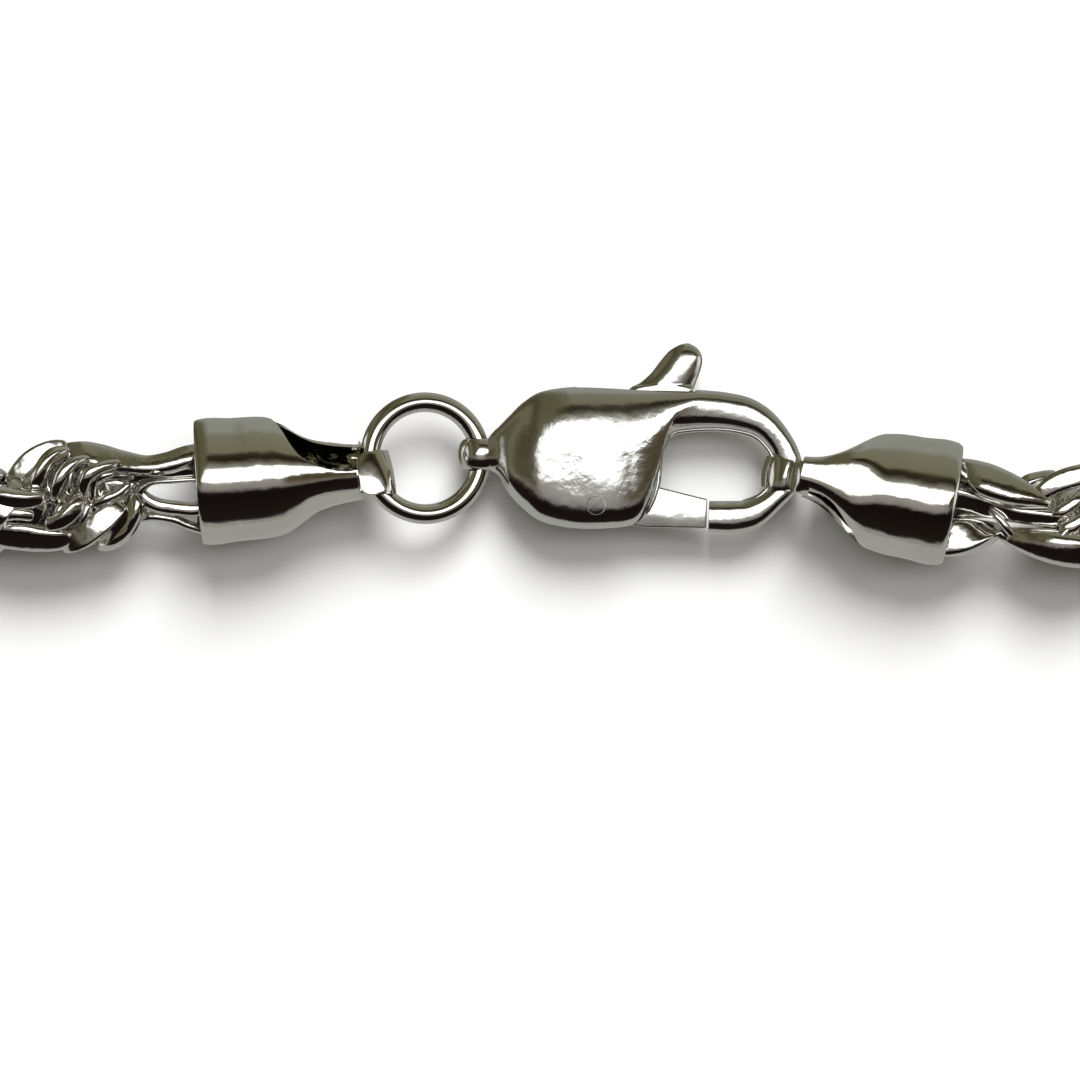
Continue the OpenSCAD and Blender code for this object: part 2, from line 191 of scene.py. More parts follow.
class Closure:
    """Places of the closure's pieces, worked out link by link along its line."""

    def __init__(self, sizes: NecklaceSizes) -> None:
        """Works out every place.

        From one mouth to the other run the ring cap, the ring's hold in its loop, the ring's
        hold in the eye, the clasp and the hook cap. The caps' mouths lie on the loop's ellipse,
        and the rise that is left over sets the line from the ring to the eye.

        Args:
            sizes: Sizes of the part.
        """
        s = self.sizes = sizes
        self.cap_z = s.cap_d / 2
        self.clasp_z = s.clasp_t / 2
        self.rope_z = s.rope_w / 2
        self.ring_r = (s.ring_d - s.ring_wire) / 2
        cap_swing = abs(s.ring_line - s.ring_cap_tilt) + s.swing_spare
        cap_throw = self._throw(s.loop_bore, s.tongue_w, cap_swing)
        eye_throw = self._throw(s.eye_bore, s.eye_w, s.eye_swing)
        self.ring_slope = math.degrees(math.asin((self.cap_z - self.clasp_z) / (cap_throw + eye_throw)))
        level = math.cos(math.radians(self.ring_slope))
        cap_run, eye_run = cap_throw * level, eye_throw * level
        hook_seat = self.turned(self.at_share(s.hook_seat_at), s.clasp_turn)
        rise = s.cap_l * (self._sin(s.hook_cap_tilt) - self._sin(s.ring_cap_tilt))
        rise += -cap_run * self._sin(s.ring_line) - hook_seat[1]
        eye_line = math.degrees(math.asin(rise / eye_run))
        run = s.cap_l * (self._cos(s.ring_cap_tilt) + self._cos(s.hook_cap_tilt))
        run += cap_run * self._cos(s.ring_line) + eye_run * self._cos(eye_line) + hook_seat[0]
        self.mouth_x = run / 2
        # Girth of an ellipse whose long half axis is 1, by the usual close formula
        term = ((1 - s.loop_aspect) / (1 + s.loop_aspect)) ** 2
        share = math.pi * (1 + s.loop_aspect) * (1 + 3 * term / (10 + math.sqrt(4 - 3 * term)))
        self.loop_a = s.necklace_l / share
        self.loop_b = s.loop_aspect * self.loop_a
        self.mouth_angle = math.degrees(math.acos(self.mouth_x / self.loop_a))
        rise_y = self.loop_b * self._sin(self.mouth_angle)
        ring_mouth = np.array([-self.mouth_x, rise_y])
        hook_mouth = np.array([self.mouth_x, rise_y])
        ring_middle = ring_mouth + polar(s.cap_l, s.ring_cap_tilt) + polar(cap_run, s.ring_line)
        eye_middle = ring_middle + polar(eye_run, eye_line)
        thumb_top = eye_middle[1] + self.turned(self.at_share(s.thumb_at), s.clasp_turn)[1] + s.thumb_r
        self.lay_y = -(thumb_top - self.loop_b - s.rope_w / 2) / 2
        self.ring_cap = Placement.turned(self._laid(ring_mouth, self.cap_z), s.ring_cap_tilt)
        self.hook_cap = Placement.turned(self._laid(hook_mouth, self.cap_z), 180 - s.hook_cap_tilt)
        ring_z = self.cap_z - cap_throw * self._sin(self.ring_slope)
        heading = (s.ring_line + eye_line) / 2
        self.ring = Placement.turned(self._laid(ring_middle, ring_z), heading, self.ring_slope)
        self.clasp = Placement.turned(self._laid(eye_middle, self.clasp_z), s.clasp_turn)

    @staticmethod
    def _sin(angle: float) -> float:
        """Sine of an angle in degrees."""
        return math.sin(math.radians(angle))

    @staticmethod
    def _cos(angle: float) -> float:
        """Cosine of an angle in degrees."""
        return math.cos(math.radians(angle))

    @staticmethod
    def turned(point: np.ndarray, angle: float) -> np.ndarray:
        """Point of the plan turned about the origin by an angle in degrees."""
        c, s = math.cos(math.radians(angle)), math.sin(math.radians(angle))
        return np.array([point[0] * c - point[1] * s, point[0] * s + point[1] * c])

    def at_share(self, share: tuple[float, float]) -> np.ndarray:
        """Place on the clasp's plan from shares of its length and width from the eye's middle."""
        return np.array([share[0] * self.sizes.clasp_l, share[1] * self.sizes.clasp_w])

    def _wire_bow(self, width: float, swing: float) -> float:
        """Bow of the ring at a strip's edge: R less the root of R squared less edge squared."""
        edge = width / 2 + self.ring_r * self._sin(swing)
        return self.ring_r - math.sqrt(self.ring_r**2 - edge**2)

    def _throw(self, bore: float, width: float, swing: float) -> float:
        """From the ring's middle to a loop's: R and half the play, less the bow and the gap."""
        s = self.sizes
        return self.ring_r + (bore - s.ring_wire) / 2 - self._wire_bow(width, swing) - s.link_gap

    def _laid(self, point: np.ndarray, height: float) -> np.ndarray:
        """Point of the closure's own plan, where the necklace lies in its frame."""
        return np.array([point[0], point[1] + self.lay_y, height])


# Pieces, and the curves and solids that they share


class Piece:
    """A mesh of the object, made at the origin from arrays in millimetres."""

    def __init__(self, name: str, points: np.ndarray, faces: list[np.ndarray]) -> None:
        """Makes the mesh and its object.

        Args:
            name: Name of the piece.
            points: Array of points, in mm in the part's frame.
            faces: Arrays of faces, each with one number of corners.
        """
        mesh = bpy.data.meshes.new(name)
        flat = np.concatenate([f.reshape(-1) for f in faces]).astype(np.int32)
        sizes = np.concatenate([np.full(len(f), f.shape[1], np.int32) for f in faces])
        mesh.vertices.add(len(points))
        mesh.vertices.foreach_set("co", (points * MM).astype(np.float32).reshape(-1))
        mesh.loops.add(len(flat))
        mesh.loops.foreach_set("vertex_index", flat)
        mesh.polygons.add(len(sizes))
        starts = np.concatenate([[0], np.cumsum(sizes)[:-1]]).astype(np.int32)
        mesh.polygons.foreach_set("loop_start", starts)
        mesh.polygons.foreach_set("use_smooth", np.ones(len(sizes), bool))
        mesh.update(calc_edges=True)
        mesh.validate()
        self.object = bpy.data.objects.new(name, mesh)
        bpy.context.scene.collection.objects.link(self.object)

    def bevel(self, width: float, limit: float) -> None:
        """Rounds every edge sharper than a limit.

        Args:
            width: Width of the rounding in mm.
            limit: Angle in degrees.
        """
        edge = self.object.modifiers.new("edge", "BEVEL")
        edge.width, edge.segments = width * MM, 3
        edge.limit_method, edge.angle_limit = "ANGLE", math.radians(limit)

    def dress(self, material: bpy.types.Material, body: str, slot: str, *nodes: str) -> None:
        """Gives the piece its finish, its body and the CAD nodes that it stands for.

        Args:
            material: Finish of the piece.
            body: CAD body that it rides on.
            slot: The record's material slot. It is not used.
            nodes: CAD nodes that it replaces.
        """
        self.object.data.materials.append(material)
        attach(self.object, body)
        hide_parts(*nodes)
        LOG.info("%s rides on %s and stands for %s", self.object.name, body, ", ".join(nodes))


def grid_faces(count: int, rows: int, cols: int, wrap_rows: bool, wrap_cols: bool) -> np.ndarray:
    """Four-cornered faces of several grids of points that follow one another.

    Args:
        count: Number of grids.
        rows: Rows of each grid.
        cols: Columns of each grid.
        wrap_rows: Whether the last row joins the first.
        wrap_cols: Whether the last column joins the first.

    Returns:
        Array of faces with four corners.
    """
    i = np.arange(rows if wrap_rows else rows - 1)[:, None]
    j = np.arange(cols if wrap_cols else cols - 1)[None, :]
    i2, j2 = (i + 1) % rows, (j + 1) % cols
    quad = np.stack([i * cols + j, i2 * cols + j, i2 * cols + j2, i * cols + j2], -1).reshape(-1, 4)
    return (np.arange(count)[:, None, None] * rows * cols + quad[None]).reshape(-1, 4)


def through(table: np.ndarray, at: np.ndarray) -> np.ndarray:
    """Smooth curve through the rows of a table, whose first column is where each row holds.

    Each row's slope is that of the parabola through it and its neighbours, for the first and the
    last row that of the line to the next one, and cubics join the rows.

    Args:
        table: Rows of a place and one or more values, the places rising.
        at: Places to read.

    Returns:
        Array with a row for each place read.
    """
    table, at = np.asarray(table, float), np.asarray(at, float)
    x, y = table[:, 0], table[:, 1:]
    slope = np.gradient(y, x, axis=0)
    i = np.clip(np.searchsorted(x, at, side="right") - 1, 0, len(x) - 2)
    step = (x[i + 1] - x[i])[:, None]
    t = np.clip((at - x[i])[:, None] / step, 0.0, 1.0)
    near = (1 + 2 * t) * (1 - t) ** 2 * y[i] + t * (1 - t) ** 2 * step * slope[i]
    far = t**2 * (3 - 2 * t) * y[i + 1] + t**2 * (t - 1) * step * slope[i + 1]
    return near + far


def numbered(rows: np.ndarray) -> np.ndarray:
    """Rows with their own number, from 0, before their values."""
    return np.column_stack([np.arange(len(rows)), rows])


def prism(outline: np.ndarray, low: float, high: float) -> tuple[np.ndarray, list[np.ndarray]]:
    """Points and faces of an outline raised from one height to another.

    Args:
        outline: Points of the plan, anticlockwise.
        low: Lower height.
        high: Upper height.

    Returns:
        Points, and a list of arrays of faces.
    """
    n = len(outline)
    points = np.concatenate([np.column_stack([outline, np.full(n, z)]) for z in (low, high)])
    k = np.arange(n)
    walls = np.stack([k, (k + 1) % n, (k + 1) % n + n, k + n], -1)
    return points, [walls, k[None, ::-1], k[None] + n]


def circle(radius: float, corners: int) -> np.ndarray:
    """Corners of a circle about the origin, anticlockwise: radius times cosine and sine."""
    a = np.linspace(0, 2 * np.pi, corners, endpoint=False)
    return radius * np.stack([np.cos(a), np.sin(a)], -1)


def turned_solid(profile: np.ndarray, corners: int) -> tuple[np.ndarray, list[np.ndarray]]:
    """Points and faces of a closed profile turned about Z, whose ends lie near the axis.

    Args:
        profile: Rows of radius and height, from the bottom round to the top.
        corners: Corners round the axis.

    Returns:
        Points, and a list of arrays of faces.
    """
    a = np.linspace(0, 2 * np.pi, corners, endpoint=False)[None]
    r, z = profile[:, :1], profile[:, 1:]
    points = np.stack([r * np.cos(a), r * np.sin(a), z + 0 * a], -1).reshape(-1, 3)
    k = np.arange(corners)[None]
    faces = grid_faces(1, len(profile), corners, False, True)[:, ::-1]
    return points, [faces, k[:, ::-1], k + (len(profile) - 1) * corners]


def section_skin(
    outer: np.ndarray, inner: np.ndarray, half: np.ndarray, square: np.ndarray, sides: int
) -> tuple[np.ndarray, list[np.ndarray]]:
    """Closed skin over upright sections that stand between pairs of points of the plan.

    Each section is a squared ellipse: cosine and sine are raised to two over the squareness,
    and its height is raised a little more towards the outer point.

    Args:
        outer: Outer point of each section.
        inner: Inner point of each section.
        half: Half its thickness.
        square: Rows of squareness across to the outer and inner side, upwards on each, and lean.
        sides: Corners of a section.

    Returns:
        Points, and a list of arrays of faces.
    """
    a = np.linspace(0, 2 * np.pi, sides, endpoint=False)[None]
    on_outer = np.cos(a) > 0
    across = squared(np.cos(a), np.where(on_outer, square[:, :1], square[:, 1:2]))
    up = squared(np.sin(a), np.where(on_outer, square[:, 2:3], square[:, 3:4]))
    up = up * (1 + square[:, 4:] * across)
    middle, reach = (outer + inner)[:, None] / 2, (outer - inner)[:, None] / 2
    plan = middle + reach * across[..., None]
    points = np.concatenate([plan, (half[:, None] * up)[..., None]], -1).reshape(-1, 3)
    k = np.arange(sides)[None]
    faces = grid_faces(1, len(outer), sides, False, True)
    return points, [faces, k, k[:, ::-1] + (len(outer) - 1) * sides]


def cut(piece: Piece, operation: str, tools: list[Piece], crease: float = 35.0) -> None:
    """Cuts, joins or meets a piece with tools, one after another, and drops the tools.

    Args:
        piece: Piece to change.
        operation: DIFFERENCE, UNION or INTERSECT.
        tools: Pieces to use.
        crease: Angle in degrees above which an edge stays sharp.
    """
    for tool in tools:
        step = piece.object.modifiers.new(tool.object.name, "BOOLEAN")
        step.operation, step.solver, step.object = operation, "EXACT", tool.object
    bpy.context.view_layer.update()
    graph = bpy.context.evaluated_depsgraph_get()
    made = bpy.data.meshes.new_from_object(piece.object.evaluated_get(graph))
    made.polygons.foreach_set("use_smooth", np.ones(len(made.polygons), bool))
    made.set_sharp_from_angle(angle=math.radians(crease))
    piece.object.modifiers.clear()
    piece.object.data = made
    for tool in tools:
        bpy.data.objects.remove(tool.object)


# Finishes


def linear(code: str) -> tuple[float, float, float, float]:
    """Scene colour of an sRGB hex code: the curve of the sRGB standard undone for each channel.

    Args:
        code: Six hex digits.

    Returns:
        Red, green, blue and alpha, linear.
    """
    raw = [int(code[k : k + 2], 16) / 255 for k in (0, 2, 4)]
    rgb = [c / 12.92 if c <= 0.04045 else ((c + 0.055) / 1.055) ** 2.4 for c in raw]
    return (rgb[0], rgb[1], rgb[2], 1.0)


def add_node(
    tree: bpy.types.NodeTree, kind: str, settings: dict[str, str] | None = None, **inputs: object
) -> bpy.types.Node:
    """Adds a node, makes its settings, and sets or links its inputs.

    Args:
        tree: Tree that the node goes in.
        kind: Type of the node.
        settings: Values of its menus by name.
        inputs: Values or outputs by input name, with _ for a space, or socket number after an i.

    Returns:
        The node.
    """
    node = tree.nodes.new(kind)
    for name, value in (settings or {}).items():
        setattr(node, name, value)
    for name, value in inputs.items():
        by_number = name[0] == "i" and name[1:].isdigit()
        socket = node.inputs[int(name[1:]) if by_number else name.replace("_", " ")]
        if isinstance(value, bpy.types.NodeSocket):
            tree.links.new(value, socket)
        else:
            socket.default_value = value
    return node


@dataclass(frozen=True)
class MetalFinish:
    """A polished metal finish, with the length and height of its patterns in millimetres."""

    slot: str
    # Colours and roughness of the brightest and the haziest places
    colour: str
    shade: str
    roughness: float
    roughness_spread: float
    wave_l: float
    wave_h: float
    pit_l: float
    pit_h: float
    # Hazy areas: how many lie along a wave, and the noise where they begin and where they are whole
    haze: float = 0.8
    haze_from: float = 0.35
    haze_to: float = 0.75


class Finish(Enum):
    """The metals of the necklace.

    Each holds its slot, two colours, roughness and its spread, and then the length and height
    of its waves and of its pits.
    """

    # Silver links, welded, cut, plated with rhodium and tumbled: small bright faces, dark gaps
    LINK = MetalFinish("link_metal", "F2F1EE", "E4E2DB", 0.08, 0.07, 0.9, 0.04, 0.25, 0.003)
    # Rolled silver sheet, pressed round a former, plated and buffed: long smooth reflections
    CAP = MetalFinish("cap_metal", "F1F0EC", "E2E0D6", 0.06, 0.08, 1.4, 0.03, 0.25, 0.002)
    # Drawn silver wire, closed and plated: thin, even highlights
    WIRE = MetalFinish("wire_metal", "F2F1EE", "E6E4DC", 0.06, 0.05, 1.2, 0.012, 0.2, 0.0015)
    # Silver casting, filed, plated and buffed by hand: a soft and slightly wavy mirror
    CLASP = MetalFinish("clasp_metal", "F1F1EF", "E2E2DD", 0.1, 0.1, 1.7, 0.05, 0.22, 0.0045)

    def material(self) -> bpy.types.Material:
        """The finish as a material, made once."""
        made = bpy.data.materials.get("polished_" + self.value.slot)
        return made or self._make()

    def _make(self) -> bpy.types.Material:
        """Makes the material: haze in its colour and gloss, waves and pits in its surface.

        Returns:
            The material.
        """
        f = self.value
        material = bpy.data.materials.new("polished_" + f.slot)
        material.use_nodes = True
        tree = material.node_tree
        tree.nodes.clear()
        place = add_node(tree, "ShaderNodeTexCoord").outputs["Object"]
        in_mm = add_node(tree, "ShaderNodeMapping", Vector=place, Scale=(1 / MM,) * 3).outputs[0]
        # Buffing leaves areas, a little longer than the waves, that are more or less bright
        haze = add_node(tree, "ShaderNodeTexNoise", Vector=in_mm, Scale=f.haze / f.wave_l, Detail=5.0)
        colour = add_node(
            tree, "ShaderNodeMix", {"data_type": "RGBA"}, i0=haze.outputs[0],
            i6=linear(f.colour), i7=linear(f.shade),
        )
        rough = add_node(
            tree, "ShaderNodeMapRange", Value=haze.outputs[0], From_Min=f.haze_from, From_Max=f.haze_to,
            To_Min=f.roughness, To_Max=f.roughness + f.roughness_spread,
        )
        # The surface waves slightly, which is what bends the edges of the reflections
        wave = add_node(tree, "ShaderNodeTexNoise", Vector=in_mm, Scale=1 / f.wave_l, Detail=2.0)
        slow = add_node(
            tree, "ShaderNodeBump", Height=wave.outputs[0], Strength=1.0, Distance=f.wave_h * MM
        )
        # The buffing wheel leaves pits. They are finer than these, which are coarse enough to show.
        pits = add_node(tree, "ShaderNodeTexNoise", Vector=in_mm, Scale=1 / f.pit_l, Detail=1.0)
        bump = add_node(
            tree, "ShaderNodeBump", Height=pits.outputs[0], Strength=1.0, Distance=f.pit_h * MM,
            Normal=slow.outputs[0],
        )
        metal = add_node(
            tree, "ShaderNodeBsdfPrincipled", Base_Color=colour.outputs[2],
            Roughness=rough.outputs[0], Normal=bump.outputs[0], Metallic=1.0,
        )
        add_node(tree, "ShaderNodeOutputMaterial", Surface=metal.outputs[0])
        return material


# The rope


@dataclass(frozen=True)
class LinkSizes:
    """Sizes of a link and of the way that links interlock, in millimetres and degrees."""

    # Outer radius of the oval, radius of the wire, half the width of the cut face and depth cut
    outer_r: float = 1.7
    wire_r: float = 0.34
    face_half: float = 0.44
    cut: float = 0.09
    # Width of the oval over its height, its lean against the rope, and the way to the next link
    stretch: float = 0.97
    lean: float = 40.0
    step: float = 0.5
    # Length from the rope's ends up to which the links are fine, and corners across half the cut
    # face and round the wire, there and along the rest. The oval's rest has five for each of the
    # first.
    fine_l: float = 22.0
    fine: tuple[int, int] = (10, 22)
    plain: tuple[int, int] = (2, 6)
    # Lengths from the rope's ends where the links start, where they are still drawn in and where
    # they have their full size, and the share of it that they are drawn in to
    first_at: float = 6.4
    thin_to: float = 9.5
    full_from: float = 12.5
    thin: float = 0.7
    # Cosines of the way from the face between which the wire turns from round to squared
    square_from: float = -0.2
    square_to: float = 0.7


@dataclass(frozen=True)
class EndLink:
    """A link beside a cap, pulled out of line and smoothed over when the end was soldered.

    Each row holds its place along the clasp's own directions from the middle of the cap's
    mouth, its height above the floor, half its width and height, all in millimetres, and its
    roll in degrees.
    """

    square: float
    rows: tuple[tuple[float, ...], ...]
    closed: bool = False


RING_SIDE = (
    # Long smooth strand along the top
    EndLink(2.5, (
        (-7, 0.36, 3.2, 0.32, 0.36, -20), (-6.27, 1.14, 3.1, 0.5, 0.41, -26),
        (-5.46, 1.23, 3.2, 0.64, 0.45, -27), (-4.55, 1.09, 3.3, 0.66, 0.45, -27),
        (-3.64, 0.91, 3.5, 0.57, 0.41, -26), (-2.45, 0.73, 3.7, 0.48, 0.41, -24),
        (-1.45, 0.86, 3.7, 0.5, 0.41, -22), (-0.45, 1.14, 3.6, 0.55, 0.45, -22),
        (1.14, 1.41, 3.5, 0.55, 0.45, -22),
    )),
    # Cut faces that lie level
    EndLink(8.0, (
        (-8.73, -0.45, 3.2, 0.36, 0.32, 0), (-8.27, 0.32, 3.4, 0.41, 0.36, -4),
        (-7.64, 1, 3.45, 0.45, 0.36, -4), (-6.82, 1.45, 3.4, 0.41, 0.36, -4),
        (-6, 1.68, 3.2, 0.27, 0.32, 0),
    )),
    EndLink(8.0, (
        (-6.27, -2.95, 2.7, 0.32, 0.32, 0), (-5.5, -2.55, 3.3, 0.55, 0.41, -4),
        (-4.64, -1.95, 3.5, 0.57, 0.41, -4), (-3.96, -1.41, 3.5, 0.45, 0.36, -4),
        (-3.45, -0.95, 3.4, 0.27, 0.27, 0),
    )),
    # Narrow links in the middle
    EndLink(3.0, (
        (-5.91, 1.45, 3.3, 0.27, 0.36, -25), (-6.64, 1.18, 3.8, 0.36, 0.36, -25),
        (-7.14, 0.55, 4, 0.36, 0.36, -25), (-7.5, -0.18, 3.8, 0.32, 0.36, -25),
        (-7.64, -0.91, 3, 0.27, 0.32, -25),
    )),
    EndLink(3.0, (
        (-5, 1.09, 3.6, 0.23, 0.32, -20), (-5.73, 0.86, 4.1, 0.27, 0.36, -12),
        (-6.23, 0.27, 4.3, 0.3, 0.36, -12), (-6.5, -0.36, 4.1, 0.27, 0.36, -12),
        (-6.55, -1.09, 3.4, 0.23, 0.32, 0),
    )),
    EndLink(3.0, (
        (-3.55, 0.86, 3.7, 0.23, 0.32, 0), (-4.36, 0.68, 4.2, 0.27, 0.32, -8),
        (-4.96, 0.36, 4.4, 0.3, 0.32, -8), (-5.23, -0.18, 4.2, 0.27, 0.32, -8),
        (-5.09, -0.73, 3.8, 0.27, 0.27, 0),
    )),
    EndLink(3.0, (
        (-5.36, -0.64, 4, 0.32, 0.32, -20), (-5.64, -1.18, 4.2, 0.41, 0.32, -24),
        (-6.18, -1.68, 4.2, 0.41, 0.32, -16), (-7, -2, 4, 0.32, 0.32, 0),
    )),
    EndLink(2.4, (
        (-9.36, -1.64, 4, 0.27, 0.27, 0), (-8.36, -1.41, 4.3, 0.32, 0.27, 0),
        (-7.46, -1.55, 4.1, 0.27, 0.27, 0),
    )),
    # Links that face down the picture
    EndLink(3.2, (
        (-11.82, -1.05, 2.9, 0.59, 0.55, 20), (-9.55, -2.09, 3.3, 0.68, 0.59, 24),
        (-7.96, -2.36, 3.5, 0.73, 0.59, 25), (-6.55, -2.5, 3.4, 0.59, 0.55, 25),
        (-5.55, -2.41, 3, 0.32, 0.36, 20),
    )),
    EndLink(3.2, (
        (-10.46, -0.45, 3.9, 0.45, 0.45, 20), (-9.09, -0.64, 4.2, 0.5, 0.5, 24),
        (-7.91, -0.77, 4.3, 0.45, 0.45, 24), (-6.91, -0.68, 4, 0.32, 0.36, 20),
    )),
    # Last links before the cap, soldered
    EndLink(3.0, (
        (-4.68, -2.86, 2, 0.41, 0.32, -25), (-3.91, -2.45, 2.8, 0.55, 0.41, -28),
        (-3.32, -1.86, 3.1, 0.55, 0.41, -28), (-3, -1.14, 3.3, 0.5, 0.41, -28),
        (-3, -0.36, 3.2, 0.36, 0.36, -20),
    )),
    EndLink(2.0, (
        (-3.36, -2.68, 2.9, 0.11, 0.14, 0), (-2.95, -2.14, 3.2, 0.14, 0.18, 0),
        (-2.68, -1.41, 3.4, 0.14, 0.18, 0), (-2.59, -0.82, 3.4, 0.14, 0.18, 0),
    )),
    EndLink(2.6, (
        (-2.77, -0.5, 3.2, 0.34, 0.32, 0), (-2.27, -0.05, 3.4, 0.15, 0.23, 0),
        (-1.27, 0.05, 3.5, 0.13, 0.23, 0), (0, 0.07, 3.5, 0.13, 0.23, 0),
        (0.64, -0.45, 3.3, 0.23, 0.27, 0), (0, -1.18, 3.1, 0.34, 0.32, 0),
        (-1, -1.18, 3.1, 0.34, 0.32, 0), (-2.05, -1, 3.1, 0.34, 0.32, 0),
    ), closed=True),
    EndLink(2.2, (
        (-3, -1.73, 2.3, 0.18, 0.23, 0), (-2.18, -1.55, 2.5, 0.23, 0.27, 0),
        (-1.27, -1.68, 2.5, 0.23, 0.27, 0), (-0.55, -1.95, 2.4, 0.23, 0.27, 0),
        (0.45, -2.27, 2.3, 0.23, 0.27, 0),
    )),
    EndLink(3.4, (
        (-4.36, 0.27, 3, 0.23, 0.23, 24), (-3.18, 0.23, 3.1, 0.27, 0.23, 24),
        (-2, 0.36, 3.3, 0.3, 0.27, 24), (-0.91, 0.45, 3.4, 0.34, 0.27, 24),
        (0.55, 0.55, 3.3, 0.36, 0.27, 24),
    )),
    EndLink(2.6, (
        (-5.27, -0.41, 2.5, 0.64, 0.41, 25), (-4, -0.32, 2.7, 0.68, 0.41, 26),
        (-2.82, -0.23, 2.7, 0.45, 0.36, 22),
    )),
    EndLink(2.2, (
        (-4.82, -0.09, 3.8, 0.16, 0.18, 0), (-4.36, 0.27, 4, 0.2, 0.23, 0),
        (-3.82, 0.41, 3.9, 0.14, 0.18, 0),
    )),
    EndLink(2.2, (
        (-4.91, -1.09, 3.6, 0.18, 0.18, 0), (-4.27, -0.77, 3.8, 0.23, 0.23, 0),
        (-3.64, -0.45, 3.7, 0.23, 0.23, 0), (-3.14, 0, 3.6, 0.18, 0.18, 0),
    )),
    EndLink(5.0, (
        (-3.09, -1.23, 2.3, 0.27, 0.23, 5), (-2.18, -1.36, 2.3, 0.36, 0.23, 6),
        (-1.09, -1.55, 2.3, 0.41, 0.23, 6), (0.18, -1.77, 2.3, 0.41, 0.23, 6),
    )),
    EndLink(2.2, (
        (-2.36, 0.36, 3.7, 0.14, 0.14, 0), (-2, 0.45, 4, 0.2, 0.18, 0),
        (-1.55, 0.45, 3.8, 0.14, 0.14, 0),
    )),
)
HOOK_SIDE = (
    # Smooth soldered strand
    EndLink(2.6, (
        (-1.18, 1.36, 3.4, 0.64, 0.45, -20), (0.41, 1.41, 3.8, 0.68, 0.5, -24),
        (1.32, 1.14, 4.1, 0.82, 0.55, -27), (2.14, 0.82, 4.2, 0.82, 0.55, -27),
        (3.05, 0.5, 4.2, 0.68, 0.5, -26), (3.86, 0.23, 4, 0.45, 0.41, -20),
        (4.77, -0.05, 3.6, 0.27, 0.32, -10),
    )),
    EndLink(3.0, (
        (-0.95, 0.18, 3, 0.91, 0.41, 25), (0.64, 0.09, 3.1, 0.82, 0.41, 26),
        (1.77, -0.09, 3.3, 0.55, 0.36, 26), (2.91, -0.36, 3.6, 0.45, 0.41, 25),
        (4.27, -0.55, 3.7, 0.45, 0.41, 25), (5.64, -0.77, 3.5, 0.41, 0.36, 20),
    )),
    EndLink(2.4, (
        (1.68, -0.18, 3.7, 0.14, 0.18, 0), (2.14, -0.64, 3.8, 0.18, 0.23, 0),
        (2.59, -1.18, 3.7, 0.18, 0.23, 0), (2.95, -1.64, 3.3, 0.14, 0.18, 0),
    )),
    # Round-faced link in the cap's mouth
    EndLink(5.0, (
        (-1.18, -1.68, 3.3, 0.68, 0.55, 2), (-0.05, -1.55, 3.4, 0.82, 0.55, -3),
        (0.77, -1.45, 3.4, 0.77, 0.55, -14), (1.59, -1.32, 3.2, 0.55, 0.45, -30),
        (2.36, -1.09, 2.9, 0.23, 0.27, -30),
    )),
    # Links of the next lobe
    EndLink(2.6, (
        (2.05, -1.27, 2.9, 0.23, 0.27, 10), (2.95, -1.5, 3.4, 0.5, 0.45, 12),
        (4.05, -1.77, 3.7, 0.73, 0.59, 15), (5.23, -2, 3.8, 0.82, 0.64, 16),
        (6.77, -2.18, 3.4, 0.82, 0.64, 18),
    )),
    EndLink(4.0, (
        (3.41, 0.18, 3.5, 0.27, 0.32, 0), (4.05, 0.55, 3.8, 0.41, 0.41, -2),
        (4.96, 1.05, 3.9, 0.5, 0.41, -4), (6.09, 1.36, 3.8, 0.5, 0.41, -4),
        (7, 1.55, 3.5, 0.36, 0.36, 0),
    )),
    EndLink(3.0, (
        (3.05, 0.55, 3.7, 0.18, 0.27, -25), (3.41, 0.95, 3.8, 0.32, 0.36, -28),
        (4.05, 1.18, 3.6, 0.27, 0.36, -28), (4.77, 1.36, 3.2, 0.18, 0.27, -28),
    )),
    EndLink(3.0, (
        (4.5, -0.36, 4, 0.18, 0.23, 0), (5.05, -0.27, 4.1, 0.27, 0.27, 0),
        (5.64, 0.18, 4, 0.27, 0.27, 0), (6.09, 0.73, 3.6, 0.23, 0.27, 0),
    )),
    EndLink(3.0, (
        (4.86, -1.18, 4, 0.27, 0.27, 0), (5.41, -1, 4.1, 0.32, 0.27, 0), (6.05, -0.55, 4, 0.27, 0.27, 0),
        (6.5, 0, 3.6, 0.23, 0.23, 0),
    )),
)


